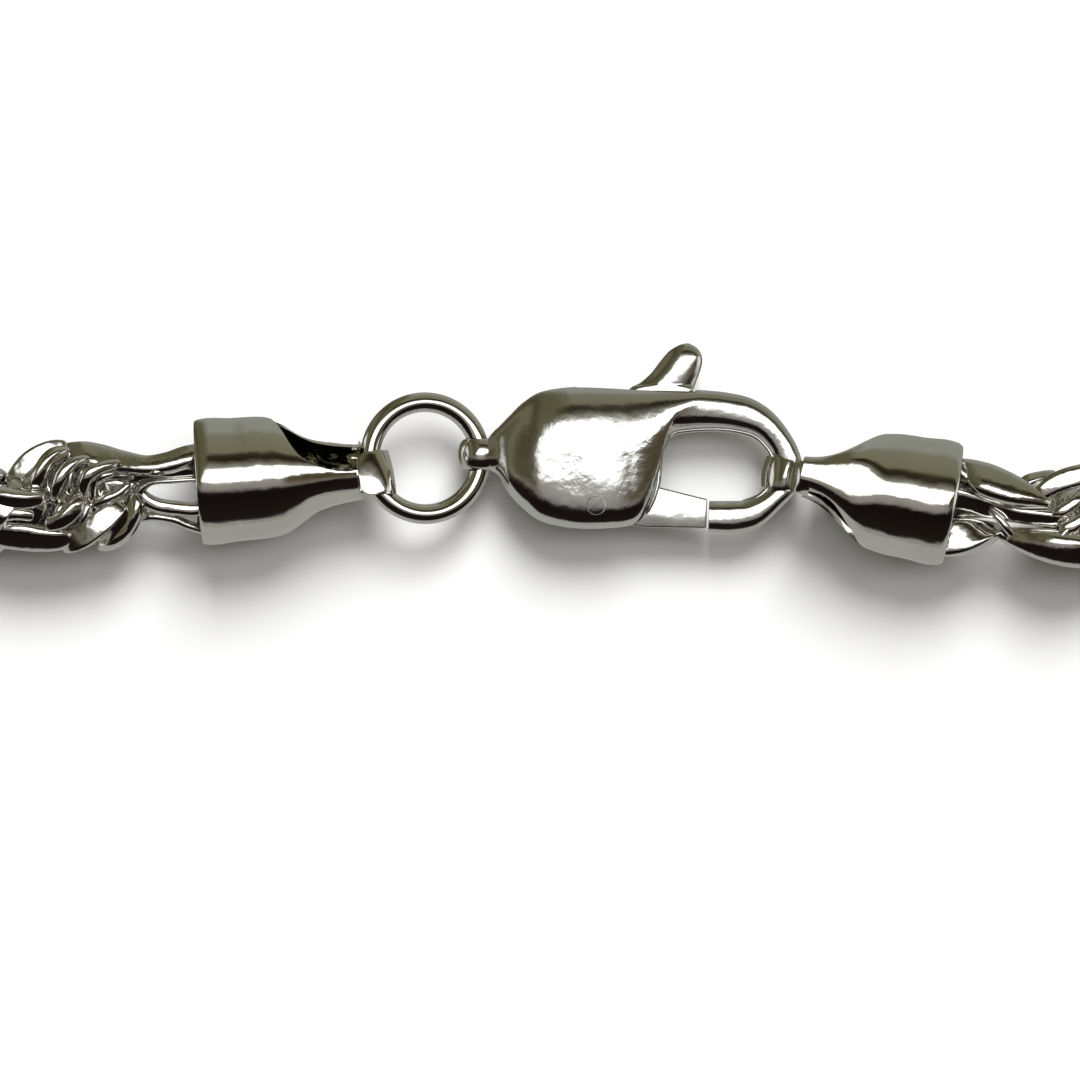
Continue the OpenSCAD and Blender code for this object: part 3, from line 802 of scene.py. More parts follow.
@dataclass
class Rope:
    """The string of interlocked links from inside one cap round to inside the other."""

    closure: Closure
    links: LinkSizes
    path_points: int = 8001
    # Number of pieces that the links of the plain stretch are joined into
    loop_pieces: int = 3
    # Sections of a soldered strand for each row of its table, and corners round it
    strand_rows: int = 12
    strand_sides: int = 28
    angles: np.ndarray = field(init=False)
    run: np.ndarray = field(init=False)
    length: float = field(init=False)

    def __post_init__(self) -> None:
        """Lays out the path as angles of its ellipse, and the length run up to each."""
        c, s = self.closure, self.closure.sizes
        seat = math.degrees(s.rope_seat / c.loop_a)
        ends = (180 - c.mouth_angle - seat, 360 + c.mouth_angle + seat)
        self.angles = np.radians(np.linspace(*ends, self.path_points))
        points = np.stack([c.loop_a * np.cos(self.angles), c.loop_b * np.sin(self.angles)], -1)
        runs = np.linalg.norm(np.diff(points, axis=0), axis=1)
        self.run = np.concatenate([[0.0], np.cumsum(runs)])
        self.length = float(self.run[-1])

    def frames(self, at: np.ndarray) -> tuple[np.ndarray, np.ndarray, np.ndarray]:
        """Centre, tangent and strand direction at lengths along the rope.

        The path is an ellipse, a cos and b sin of an angle. The strand's direction turns from
        the left of travel towards +Z by a full turn in each pitch.

        Args:
            at: Lengths run from the rope's first end, in mm.

        Returns:
            Three arrays of vectors.
        """
        c, s = self.closure, self.closure.sizes
        a = np.interp(at, self.run, self.angles)
        from_end = np.minimum(at, self.length - at) - s.rope_seat
        height = c.rope_z + (c.cap_z - c.rope_z) * (1 - smooth(from_end / s.rope_rise_l))
        centre = np.stack([c.loop_a * np.cos(a), c.loop_b * np.sin(a) + c.lay_y, height], -1)
        tangent = unit(np.stack([-c.loop_a * np.sin(a), c.loop_b * np.cos(a), 0 * a], -1))
        left = np.stack([-tangent[:, 1], tangent[:, 0], 0 * a], -1)
        turn = np.radians(s.rope_start_turn + 360 * at / s.rope_pitch)[:, None]
        strand = left * np.cos(turn) + np.array([0, 0, 1.0]) * np.sin(turn)
        return centre, tangent, strand

    def links_at(self, index: np.ndarray, sides: tuple[int, int]) -> np.ndarray:
        """Points of links: each is an oval of round wire that leans against the rope.

        The oval's centre line is its middle plus R cos p along the strand's direction and
        R stretch sin p across it. The wire adds r cos q outwards and r sin q along the normal.

        The wire widens to the face towards the outside of the strand, where it is squared, its
        cosine and sine raised to one half, and cut flat.

        Args:
            index: Numbers of the links along the rope.
            sides: Corners across half the cut face, and round the wire.

        Returns:
            Array of links, corners round the oval, corners round the wire and x, y, z.
        """
        k = self.links
        centre, tangent, strand = self.frames(index * k.step)
        strand = strand * np.where(index % 2 == 0, 1.0, -1.0)[:, None]
        across = np.cross(tangent, strand)
        lean = math.radians(k.lean)
        normal = tangent * math.cos(lean) + across * math.sin(lean)
        wide = np.cross(normal, strand)
        from_end = np.minimum(index * k.step, self.length - index * k.step)
        full = smooth((from_end - k.thin_to) / (k.full_from - k.thin_to))
        scale = (k.thin + (1 - k.thin) * full)[:, None, None, None]
        limit = self.closure.sizes.rope_w / 2 * scale
        middle = centre + strand * (self.closure.sizes.rope_w / 2 + k.cut - k.outer_r) * scale[:, 0, 0]
        radius = (k.outer_r - k.wire_r) * scale[:, 0]
        edge = math.acos(1 - k.cut / k.outer_r)
        facet = np.linspace(-edge, edge, 2 * sides[0] + 1)
        rest = np.linspace(edge, 2 * np.pi - edge, 5 * sides[0] + 2)[1:-1]
        p = np.concatenate([facet, rest])[None, :, None]
        q = np.linspace(0, 2 * np.pi, sides[1], endpoint=False)[None, None, :, None]
        u, w, n = strand[:, None], wide[:, None], normal[:, None]
        line = middle[:, None] + radius * (np.cos(p) * u + k.stretch * np.sin(p) * w)
        outward = unit(np.cos(p) * k.stretch * u + np.sin(p) * w)
        face = smooth((np.cos(p) - k.square_from) / (k.square_to - k.square_from))[..., None]
        out = squared(np.cos(q), 2 + 2 * face) * k.wire_r
        side = squared(np.sin(q), 2 + 2 * face) * (k.wire_r + (k.face_half - k.wire_r) * face)
        points = line[:, :, None] + out * outward[:, :, None] + side * n[:, :, None]
        off = ((points - centre[:, None, None]) * u[:, :, None]).sum(-1, keepdims=True)
        return points - np.maximum(off - limit, 0) * u[:, :, None]

    def build(self) -> None:
        """Makes the links, fine beside the caps and plainer between, and the soldered strands."""
        k = self.links
        index = np.arange(int(self.length / k.step) + 1)
        index = index[(index * k.step > k.first_at) & (index * k.step < self.length - k.first_at)]
        left, right = index * k.step < k.fine_l, index * k.step > self.length - k.fine_l
        rest = index[~left & ~right]
        groups = {"links_ring_side": (index[left], k.fine), "links_hook_side": (index[right], k.fine)}
        for number, part in enumerate(np.array_split(rest, self.loop_pieces)):
            groups[f"links_loop_{number + 1}"] = (part, k.plain)
        for name, (members, sides) in groups.items():
            points = self.links_at(members, sides)
            faces = grid_faces(*points.shape[:3], True, True)
            piece = Piece(name, points.reshape(-1, 3), [faces[:, ::-1]])
            piece.dress(Finish.LINK.material(), "necklace", "link_metal", "rope")
        strands = [(self.closure.ring_cap, link) for link in RING_SIDE]
        strands += [(self.closure.hook_cap, link) for link in HOOK_SIDE]
        for number, (cap, link) in enumerate(strands):
            piece = Piece(f"end_link_{number + 1}", *self.end_link(cap, link))
            piece.dress(Finish.LINK.material(), "necklace", "link_metal", "rope")
        LOG.info("the rope has %d links and %d soldered strands", len(index), len(strands))

    def end_link(self, cap: Placement, link: EndLink) -> tuple[np.ndarray, list[np.ndarray]]:
        """Points and faces of one link beside a cap.

        A curve runs through the link's rows. Around it stands a squared ellipse, whose cosine and
        sine are raised to two over the squareness, turned by the roll. An open link's two ends
        are rounded.

        Args:
            cap: Place of the cap's mouth.
            link: The link's rows.

        Returns:
            Points, and a list of arrays of faces.
        """
        place = Placement.turned(cap.origin * [1, 1, 0], self.closure.sizes.clasp_turn)
        rows, count, sides = np.array(link.rows), self.strand_rows * len(link.rows), self.strand_sides
        if link.closed:
            rows = np.concatenate([rows[-2:], rows, rows[:3]])
            at = np.linspace(2, len(rows) - 3, count, endpoint=False)
        else:
            at = np.linspace(0, len(rows) - 1, count)
        line = through(numbered(rows), at)
        middle = line[:, :3]
        if link.closed:
            tangent = np.roll(middle, -1, axis=0) - np.roll(middle, 1, axis=0)
            grow = np.ones(count)
        else:
            tangent = np.gradient(middle, axis=0)
            grow = rounded_ends(count)
        tangent = unit(tangent)
        side = unit(np.cross([0, 0, 1.0], tangent))
        up = np.cross(tangent, side)
        roll = np.radians(line[:, 5:6])
        side, up = side * np.cos(roll) + up * np.sin(roll), up * np.cos(roll) - side * np.sin(roll)
        q = np.linspace(0, 2 * np.pi, sides, endpoint=False)[None]
        across = (squared(np.cos(q), link.square) * line[:, 3:4])[..., None]
        rise = (squared(np.sin(q), link.square) * line[:, 4:5])[..., None]
        grow = grow[:, None, None]
        points = middle[:, None] + grow * (across * side[:, None] + rise * up[:, None])
        faces = [grid_faces(1, count, sides, link.closed, True)]
        if not link.closed:
            k = np.arange(sides)[None]
            faces += [k, k[:, ::-1] + (count - 1) * sides]
        return place.apply(points.reshape(-1, 3)), faces


# The caps and the ring


@dataclass(frozen=True)
class CapSizes:
    """One end cap. Lengths run from its mouth, angles from the zenith to its own +Y side."""

    node: str
    # Length and outer radius
    profile: tuple[tuple[float, float], ...]
    # Length, and the angles where the sheet ends on either side of the gap
    gap: tuple[tuple[float, float, float], ...]
    # Length at which the bell ends above and below
    end: tuple[float, float]
    # Middle line of the tongue before its bend, as length and height
    root: tuple[tuple[float, float], ...]
    # Length at which the loop's middle lies, and the loop's radius to the sheet's middle
    loop: tuple[float, float]
    # How far the loop's middle lies below the cap's axis
    drop: float
    # 1 where the tongue leaves the bell above, -1 where it leaves below
    side: int
    # Length, and how high the crown lies over the cap's axis
    crown: tuple[tuple[float, float], ...]
    # How much the neck is squared, and how far its crest lies to the cap's own +Y side
    flat: float
    crest: float
    # Turn of the tongue's strip about its own line, in degrees
    roll: float
    # Tongue: share of its width that it has at its root, its width, its shift to the cap's own +Y
    # side, and the length from the mouth at which it ends under the loop
    root_w: float
    tongue_w: float
    tongue_shift: float
    tongue_end: float


RING_CAP = CapSizes(
    node="ring_cap",
    profile=(
        (0, 2.8), (0.05, 2.835), (0.12, 2.85), (1.6, 2.81), (3.1, 2.75), (3.7, 2.64), (4.4, 2.24),
        (5.1, 1.80), (5.9, 1.55), (6.7, 1.41), (7.5, 1.32),
    ),
    gap=(
        (0, 88, 88.3), (3.0, 88, 88.3), (3.4, 78, 90), (3.8, 56, 90), (4.2, 36, 89), (4.6, 22, 88),
        (5.0, 15, 87), (5.45, 9, 86), (6.14, 2, 85), (7.5, -2, 85),
    ),
    end=(7.12, 7.5),
    root=((6.9, -1.19), (7.3, -1.14), (7.55, -1.0)),
    loop=(7.8, 0.74),
    crown=(
        (0, 2.8), (0.05, 2.835), (0.12, 2.85), (1.6, 2.81), (3.1, 2.75), (3.7, 2.70), (4.4, 2.55),
        (5.1, 2.35), (5.9, 2.10), (6.7, 1.85), (7.5, 1.60),
    ),
    drop=0.0, side=-1, flat=0.3, crest=0.0, roll=-12.0, root_w=0.66, tongue_w=1.95, tongue_shift=-0.2,
    tongue_end=7.22,
)
HOOK_CAP = CapSizes(
    node="hook_cap",
    profile=(
        (0, 2.72), (0.1, 2.8), (0.3, 2.845), (1.6, 2.80), (3.0, 2.72), (3.6, 2.58), (4.2, 2.20),
        (4.8, 1.74), (5.4, 1.32), (6.0, 1.03), (6.7, 0.86), (7.1, 0.82),
    ),
    gap=(
        (0, 95, 95.3), (3.2, 95, 95.3), (3.7, 85, 97), (4.1, 66, 97), (4.6, 54, 97), (5.1, 42, 97),
        (5.6, 37, 97), (6.2, 43, 97), (7.1, 50, 97),
    ),
    end=(7.0, 6.5),
    root=((6.5, 2.08), (6.9, 2.0), (7.14, 1.40), (7.28, 0.62)),
    loop=(7.5, 0.95),
    crown=(
        (0, 2.72), (0.1, 2.8), (0.3, 2.845), (1.6, 2.80), (3.0, 2.75), (3.6, 2.69), (4.2, 2.61),
        (4.8, 2.52), (5.4, 2.43), (6.0, 2.35), (6.7, 2.26), (7.1, 2.21),
    ),
    drop=0.95, side=1, flat=2.8, crest=-0.3, roll=0.0, root_w=0.95, tongue_w=1.36, tongue_shift=0.0,
    tongue_end=6.9,
)


@dataclass(frozen=True)
class EndCap:
    """Cap rolled from sheet: sleeve, bell left open along one side, and tongue bent into a loop."""

    place: Placement
    cap: CapSizes
    sizes: NecklaceSizes
    # Points round the bell and along it. For the tongue: round its loop, over its end, along the
    # whole of it and across it
    columns: int = 120
    rows: int = 90
    bend_rows: int = 40
    back_rows: int = 13
    tongue_rows: int = 90
    tongue_columns: int = 13
    # Length past the sleeve over which the neck takes its own section
    neck_run: float = 2.4
    # Length of the tip's rounding, and the width left there, as shares of half the tongue's width
    tip_l: float = 0.55
    tip_w: float = 0.45
    # Along the tongue: where it begins to widen, and over what length
    widen_at: float = 0.4
    widen_run: float = 0.7
    # Along the tongue: up to where it is curved like the bell, and where its crown is whole
    curved_l: float = 0.9
    crowned_at: float = 1.2
    crown_h: float = 0.09
    # Along the tongue: where its roll begins, and over what length
    roll_at: float = 1.7
    roll_run: float = 1.0
    edge_w: float = 0.1
    edge_limit: float = 50.0
    # Plug of solder: radius, length from the mouth, its own length, power of its rounding, and how
    # much of that power is taken off, so that its tip doesn't close to a point
    plug_r: float = 2.5
    plug_at: float = 1.7
    plug_l: float = 2.2
    plug_power: float = 1.4
    plug_taken: float = 0.9995
    plug_rows: int = 24
    plug_corners: int = 48

    def sheet(self) -> np.ndarray:
        """Middle surface of sleeve and bell.

        At length x and angle a it lies at radius r(x), which is the profile less half the
        sheet: y is r sin a, and z is r cos a, with the crown for r above the axis. Towards the
        neck sin a and cos a are raised to two over a squareness, which flattens the top, and y
        grows by the crest's shift times cos a. The angle runs from one side of the gap to the
        other. Over the last third the rows spread to the bell's slanted end.

        Returns:
            Grid of points, rows along the cap.
        """
        cap = self.cap
        share = np.linspace(0, 1, self.rows)[:, None]
        turn = np.linspace(0, 1, self.columns)[None]
        middle = (cap.end[0] + cap.end[1]) / 2
        edges = through(cap.gap, share[:, 0] * middle)
        angle = np.radians(edges[:, 1:] + turn * (360 - edges[:, 1:] + edges[:, :1]))
        reach = middle + (cap.end[0] - cap.end[1]) / 2 * np.cos(angle)
        length = share * (middle + (reach - middle) * smooth(share * 3 - 2))
        half_wall = self.sizes.cap_wall / 2
        radius = through(cap.profile, length.reshape(-1)).reshape(length.shape) - half_wall
        crown = through(cap.crown, length.reshape(-1)).reshape(length.shape) - half_wall
        neck = smooth((length - self.sizes.sleeve_l) / self.neck_run)
        side = squared(np.sin(angle), 2 + cap.flat * neck)
        height = squared(np.cos(angle), 2 + cap.flat * neck)
        shift = cap.crest * neck * np.maximum(np.cos(angle), 0)
        height = np.where(height > 0, crown, radius) * height
        return np.stack([length, radius * side + shift, height], -1)

    def tongue(self) -> np.ndarray:
        """Middle surface of the tongue: its line, drawn sideways over its width.

        The line runs along the root, round half a circle about the loop's middle, and back over
        a short end. Near the root the strip is curved like the bell and narrower, and its free
        end is rounded. Its outer face is crowned, and rolled from a little way on: each point
        moves outwards by a parabola over the width and by the tangent of the roll times y.

        Returns:
            Grid of points, rows along the tongue.
        """
        cap = self.cap
        middle, bend = cap.loop
        a = np.radians(np.linspace(90, -90, self.bend_rows)) * cap.side
        loop = np.stack([middle + bend * np.cos(a), -cap.drop + bend * np.sin(a)], -1)
        back = np.linspace(middle, cap.tongue_end, self.back_rows + 1)[1:]
        line = np.concatenate([cap.root, loop, np.stack([back, 0 * back + loop[-1, 1]], -1)])
        run = np.concatenate([[0.0], np.cumsum(np.linalg.norm(np.diff(line, axis=0), axis=1))])
        at = np.linspace(0, run[-1], self.tongue_rows)
        line = through(np.column_stack([run, line]), at)
        half = cap.tongue_w / 2
        from_end = np.clip((run[-1] - at) / (self.tip_l * half), 0, 1)
        width = half * (self.tip_w + (1 - self.tip_w) * np.sqrt(from_end * (2 - from_end)))
        width *= cap.root_w + (1 - cap.root_w) * smooth((at - self.widen_at) / self.widen_run)
        share = np.linspace(-1, 1, self.tongue_columns)[None]
        grown = smooth(at / self.crowned_at)[:, None]
        side = share * width[:, None] + cap.tongue_shift * grown
        neck = cap.profile[-1][1] - self.sizes.cap_wall / 2
        curve = neck - np.sqrt(np.maximum(neck**2 - side**2, 0.0))
        curve = curve * (1 - smooth(at / self.curved_l))[:, None]
        lean = np.gradient(line, at, axis=0)
        up = np.stack([-lean[:, 1], lean[:, 0]], -1) * cap.side
        rolled = smooth((at - self.roll_at) / self.roll_run)[:, None]
        crown = self.crown_h * (1 - share**2) * grown
        crown = crown + math.tan(math.radians(cap.roll)) * side * rolled
        length = line[:, :1] + up[:, :1] * crown
        height = line[:, 1:] - cap.side * curve + up[:, 1:] * crown
        return np.stack([length, side, height], -1)

    def build(self) -> None:
        """Makes the cap as one piece of sheet with rounded edges."""
        parts, faces, first = [], [], 0
        for grid in (self.sheet(), self.tongue()):
            rows, cols = grid.shape[:2]
            quads = grid_faces(1, rows, cols, False, False)
            parts.append(grid.reshape(-1, 3))
            faces.append(quads[:, ::-1] + first)
            first += rows * cols
        piece = Piece(self.cap.node + "_sheet", self.place.apply(np.concatenate(parts)), faces)
        thick = piece.object.modifiers.new("sheet", "SOLIDIFY")
        thick.thickness, thick.offset = self.sizes.cap_wall * MM, 0.0
        piece.bevel(self.edge_w, self.edge_limit)
        piece.dress(Finish.CAP.material(), "necklace", "cap_metal", self.cap.node)
        self._solder()

    def _solder(self) -> None:
        """Makes the plug of solder that holds the rope's end.

        Its radius falls with the root of one less a power of the way to its tip.
        """
        reach = np.linspace(0, 1, self.plug_rows)
        radius = self.plug_r * np.sqrt(1 - self.plug_taken * reach**self.plug_power)
        profile = np.column_stack([radius, self.plug_at + self.plug_l * reach])
        points, faces = turned_solid(profile, self.plug_corners)
        points = points[:, [2, 0, 1]]
        piece = Piece(self.cap.node + "_solder", self.place.apply(points), faces)
        piece.dress(Finish.LINK.material(), "necklace", "link_metal", self.cap.node)


@dataclass(frozen=True)
class JumpRing:
    """Closed round ring of round wire."""

    closure: Closure
    around: int = 160
    corners: int = 40

    def build(self) -> None:
        """Makes the ring: a circle of wire, turned about the ring's own axis."""
        wire_r = self.closure.sizes.ring_wire / 2
        p = np.linspace(0, 2 * np.pi, self.around, endpoint=False)[:, None]
        q = np.linspace(0, 2 * np.pi, self.corners, endpoint=False)[None]
        out = self.closure.ring_r + wire_r * np.cos(q)
        points = np.stack([out * np.cos(p), out * np.sin(p), wire_r * np.sin(q) + 0 * p], -1)
        faces = grid_faces(1, self.around, self.corners, True, True)
        piece = Piece("jump_ring_wire", self.closure.ring.apply(points.reshape(-1, 3)), [faces])
        piece.dress(Finish.WIRE.material(), "necklace", "wire_metal", "jump_ring")


# The clasp


@dataclass(frozen=True)
class Clasp:
    """Lobster clasp: the casting with its eye and hook, the lever and the rivet."""

    # Shares of clasp_l, clasp_w, clasp_l, clasp_w and clasp_t: outer point, inner point, thickness
    SECTIONS = np.array([
        [0.024, 0.128, 0.024, -0.118, 0.50], [0.054, 0.182, 0.054, -0.142, 0.58],
        [0.088, 0.258, 0.088, -0.270, 0.73], [0.133, 0.354, 0.133, -0.372, 0.85],
        [0.190, 0.426, 0.190, -0.458, 0.95], [0.286, 0.457, 0.286, -0.503, 1.00],
        [0.395, 0.453, 0.395, -0.505, 0.97], [0.476, 0.446, 0.476, -0.477, 0.87],
        [0.537, 0.442, 0.516, -0.385, 0.78], [0.592, 0.440, 0.545, -0.215, 0.69],
        [0.639, 0.438, 0.556, 0.010, 0.63], [0.673, 0.436, 0.588, 0.138, 0.59],
        [0.710, 0.432, 0.648, 0.172, 0.53], [0.769, 0.417, 0.741, 0.179, 0.45],
        [0.837, 0.381, 0.808, 0.160, 0.41], [0.898, 0.300, 0.856, 0.124, 0.39],
        [0.949, 0.172, 0.892, 0.047, 0.36], [0.986, 0.025, 0.909, -0.025, 0.34],
        [1.000, -0.120, 0.914, -0.115, 0.33], [0.984, -0.240, 0.901, -0.205, 0.34],
        [0.938, -0.350, 0.868, -0.280, 0.36], [0.868, -0.490, 0.822, -0.313, 0.38],
        [0.790, -0.537, 0.778, -0.318, 0.37], [0.706, -0.534, 0.709, -0.318, 0.36],
    ])
    # Squareness of a section by row: across towards its outer and its inner point, and upwards
    # towards each. The last is how far the crown leans to the outer side.
    SQUARENESS = np.array([
        [0, 2.3, 2.6, 2.6, 2.6, 0.0], [3, 2.4, 3.6, 3.0, 3.6, 0.02], [5, 2.4, 4.8, 3.4, 5.0, 0.03],
        [7, 2.4, 4.8, 3.4, 5.0, 0.03], [9, 2.4, 3.6, 4.0, 4.0, 0.03], [11, 2.4, 3.2, 3.6, 3.6, 0.0],
        [14, 2.4, 3.0, 3.0, 3.4, 0.0], [23, 2.6, 2.8, 3.0, 3.0, 0.0],
    ])
    # The thumb piece by row, in mm: left and right point of its outline, and its thickness
    THUMB = np.array([
        [0, 6.45, 2.30, 9.40, 2.20, 1.20], [1, 6.80, 2.98, 9.70, 2.95, 1.20],
        [2, 7.30, 3.27, 9.84, 3.32, 1.20], [3, 7.78, 3.70, 10.00, 3.76, 1.18],
        [4, 8.18, 4.22, 10.10, 4.20, 1.10], [5, 8.60, 4.70, 10.06, 4.54, 0.95],
        [6, 9.05, 4.97, 9.86, 4.84, 0.66], [7, 9.38, 5.06, 9.55, 5.03, 0.25],
    ])
    # The gate, as shares of length and width, clockwise from where the arm meets it
    GATE = ((0.527, -0.194), (0.551, -0.224), (0.702, -0.306), (0.699, -0.505), (0.510, -0.499))

    closure: Closure
    # Corners of the casting's sections and their number, and corners of round holes and pins
    sides: int = 72
    rows: int = 270
    corners: int = 64
    pin_corners: int = 48
    # Rounding of the eye's lips
    lip_r: float = 0.36
    lip_rows: int = 16
    # Shares of length and width where the thumb piece's sides leave the casting
    thumb_right: tuple[float, float] = (0.648, 0.441)
    thumb_left: tuple[float, float] = (0.473, 0.448)
    # Slot: share of the length that it reaches from the rivet, and shares of the width that it
    # rises to there and to the thumb piece
    slot_l: float = 0.228
    slot_rise: float = 0.38
    slot_thumb: float = 0.6
    # Lever, clockwise: shares where its arm starts on the left, foot of the thumb piece in mm,
    # share of the width from the rivet up the arm's right side, share of the length to the
    # boss's heel, and angles of the boss's arc with its corners
    arm_left: tuple[float, float] = (0.449, 0.328)
    foot: tuple[tuple[float, float], ...] = ((6.55, 2.35), (9.36, 2.3))
    arm_right: float = 0.45
    heel: float = 0.071
    boss_arc: tuple[float, float, int] = (270.0, 150.0, 25)
    edge_w: float = 0.1
    edge_limit: float = 40.0
    # Thumb piece: number of its sections, their squareness, what its foot adds to that, and the
    # row of its table where that is gone
    thumb_rows: int = 50
    thumb_square: float = 2.3
    foot_square: float = 6.0
    foot_row: float = 1.6
    # Rim of the opening: its sections and their corners, row of the casting's table where it
    # starts, and rows where its strands above and below the slot end
    rim_rows: int = 150
    rim_corners: int = 20
    rim_from: float = 7.8
    rim_ends: tuple[float, float] = (21.4, 11.6)
    # Row where the strands begin to close up, over how many rows, and their height before it
    rim_close: float = 10.0
    rim_close_run: float = 1.2
    rim_z: float = 0.9
    # Half width of a strand and its height over its width
    rim_r: float = 0.12
    rim_tall: float = 1.4
    # How far it stands off, what it gains past the slot, how far it is sunk, and the rows over
    # which it eases in at its end
    rim_off: float = 0.08
    rim_off_more: float = 0.02
    rim_sunk: float = 0.04
    rim_fade: float = 3.0

    @property
    def sizes(self) -> NecklaceSizes:
        """Sizes of the part."""
        return self.closure.sizes

    @property
    def rivet(self) -> np.ndarray:
        """Middle of the rivet on the clasp's plan."""
        return self.closure.at_share(self.sizes.rivet_at)

    def _piece(self, name: str, points: np.ndarray, faces: list[np.ndarray]) -> Piece:
        """Piece whose points are given in the clasp's own directions."""
        return Piece(name, self.closure.clasp.apply(points), faces)

    def _upright(self, name: str, outline: np.ndarray, half: float) -> Piece:
        """Outline of the clasp's plan raised by a half thickness to both sides."""
        points, faces = prism(outline, -half, half)
        return self._piece(name, points, faces)

    def skin(self) -> tuple[np.ndarray, list[np.ndarray]]:
        """Points and faces of the casting before its slot, bore and rivet hole.

        Curves run through the rows of the table, which section_skin covers.

        Returns:
            Points, and a list of arrays of faces.
        """
        s = self.sizes
        at = np.linspace(0, len(self.SECTIONS) - 1, self.rows)
        rows = through(numbered(self.SECTIONS), at)
        scale = np.array([s.clasp_l, s.clasp_w])
        half = rows[:, 4] * s.clasp_t / 2
        square = through(self.SQUARENESS, at)
        return section_skin(rows[:, 0:2] * scale, rows[:, 2:4] * scale, half, square, self.sides)

    def body(self) -> None:
        """Makes the casting: the skin with its eye, cut by the bore, the slot and the rivet hole."""
        s = self.sizes
        piece = self._piece("clasp_casting", *self.skin())
        out, half = s.eye_bore / 2 + s.eye_wall, s.eye_w / 2
        a = np.radians(np.linspace(0, 90, self.lip_rows))
        lip = np.stack([out - self.lip_r + self.lip_r * np.cos(a), half * np.sin(a)], -1)
        # The eye's two flat sides end a hair off its axis
        near_axis = 0.02
        middle = np.array([[near_axis, half]])
        profile = np.concatenate([middle * [1, -1], (lip * [1, -1])[::-1], lip, middle])
        eye, eye_faces = turned_solid(profile, self.corners)
        to_side = np.array([[1, 0, 0], [0, 0, -1], [0, 1, 0]])
        bore, bore_faces = prism(circle(s.eye_bore / 2, self.corners), -s.clasp_w, s.clasp_w)
        cut(piece, "UNION", [self._piece("eye", eye @ to_side, eye_faces)])
        slot = s.lever_t / 2 + s.slot_gap
        # The boss's room is deeper by a hair, so that no two cutting faces lie in one plane
        boss_room = slot + 0.0005
        hole = circle(s.rivet_d / 2 + 2 * s.rivet_seat_gap, self.pin_corners) + self.rivet
        boss = circle(s.boss_r + s.slot_gap, self.corners) + self.rivet
        tools = [
            self._piece("bore", bore @ to_side, bore_faces),
            self._upright("slot", self.slot_plan(), slot),
            self._upright("boss_room", boss, boss_room),
            self._upright("rivet_hole", hole, s.clasp_t),
        ]
        cut(piece, "DIFFERENCE", tools)
        piece.dress(Finish.CLASP.material(), "necklace", "clasp_metal", "clasp_body")

    def _thumb_angles(self) -> tuple[float, float]:
        """Directions from the rivet to the two sides of the thumb piece.

        Returns:
            Angles in degrees of the right and the left side.
        """
        right = self.closure.at_share(self.thumb_right) - self.rivet
        left = self.closure.at_share(self.thumb_left) - self.rivet
        return math.degrees(math.atan2(right[1], right[0])), math.degrees(math.atan2(left[1], left[0]))

    def slot_plan(self) -> np.ndarray:
        """Plan of the slot, open towards the gate and as wide as the thumb piece's swing.

        Returns:
            Array of points.
        """
        s = self.sizes
        right, left = self._thumb_angles()
        right, left = right - s.swing_spare, left + s.lever_open + s.swing_spare
        # Length by which the slot is drawn on outside the casting
        past = 1.0
        back, low = -s.boss_r - s.slot_gap, -s.boss_r - s.slot_gap - past
        opening = s.clasp_l * self.slot_l
        corners = [
            [back, low], [opening, low], [opening, s.clasp_w * self.slot_rise],
            polar(s.clasp_w * self.slot_thumb, right), polar(s.clasp_w + past, right),
            polar(s.clasp_w + past, left), [back, 0],
        ]
        return np.array(corners) + self.rivet

    def lever_plan(self) -> np.ndarray:
        """Plan of the lever: boss, arm up to the thumb piece, and the gate.

        Returns:
            Array of points, anticlockwise.
        """
        s, share = self.sizes, self.closure.at_share
        right = self._thumb_angles()[0]
        boss = np.array([self.rivet + polar(s.boss_r, a) for a in np.linspace(*self.boss_arc)])
        corners = [
            share(self.arm_left), *self.foot, self.rivet + polar(s.clasp_w * self.arm_right, right),
            *(share(corner) for corner in self.GATE), self.rivet + [s.clasp_l * self.heel, -s.boss_r],
        ]
        return np.concatenate([np.array(corners, float), boss])[::-1]

    def lever(self) -> None:
        """Makes the lever: its plan raised, with rounded edges and the rivet's bore."""
        s = self.sizes
        piece = self._upright("clasp_lever_plate", self.lever_plan(), s.lever_t / 2)
        piece.bevel(self.edge_w, self.edge_limit)
        bore = circle(s.rivet_d / 2 + s.rivet_gap, self.pin_corners) + self.rivet
        cut(piece, "DIFFERENCE", [self._upright("bore", bore, s.clasp_t)])
        at = np.linspace(0, len(self.THUMB) - 1, self.thumb_rows)
        rows = through(self.THUMB, at)
        square = self.thumb_square + self.foot_square * smooth(self.foot_row - at)
        square = np.array([1.0, 1, 1, 1, 0]) * square[:, None]
        points, faces = section_skin(rows[:, 2:4], rows[:, 0:2], rows[:, 4] / 2, square, self.pin_corners)
        cut(piece, "UNION", [self._piece("thumb", points, faces)])
        piece.dress(Finish.CLASP.material(), "lever", "clasp_metal", "clasp_lever")

    def pin(self) -> None:
        """Makes the rivet: a pin filed flush, which is what a cylinder and the skin share."""
        s = self.sizes
        outline = circle(s.rivet_d / 2, self.pin_corners) + self.rivet
        piece = self._upright("clasp_rivet_pin", outline, s.clasp_t)
        cut(piece, "INTERSECT", [self._piece("skin", *self.skin())])
        piece.dress(Finish.CLASP.material(), "necklace", "clasp_metal", "clasp_rivet")

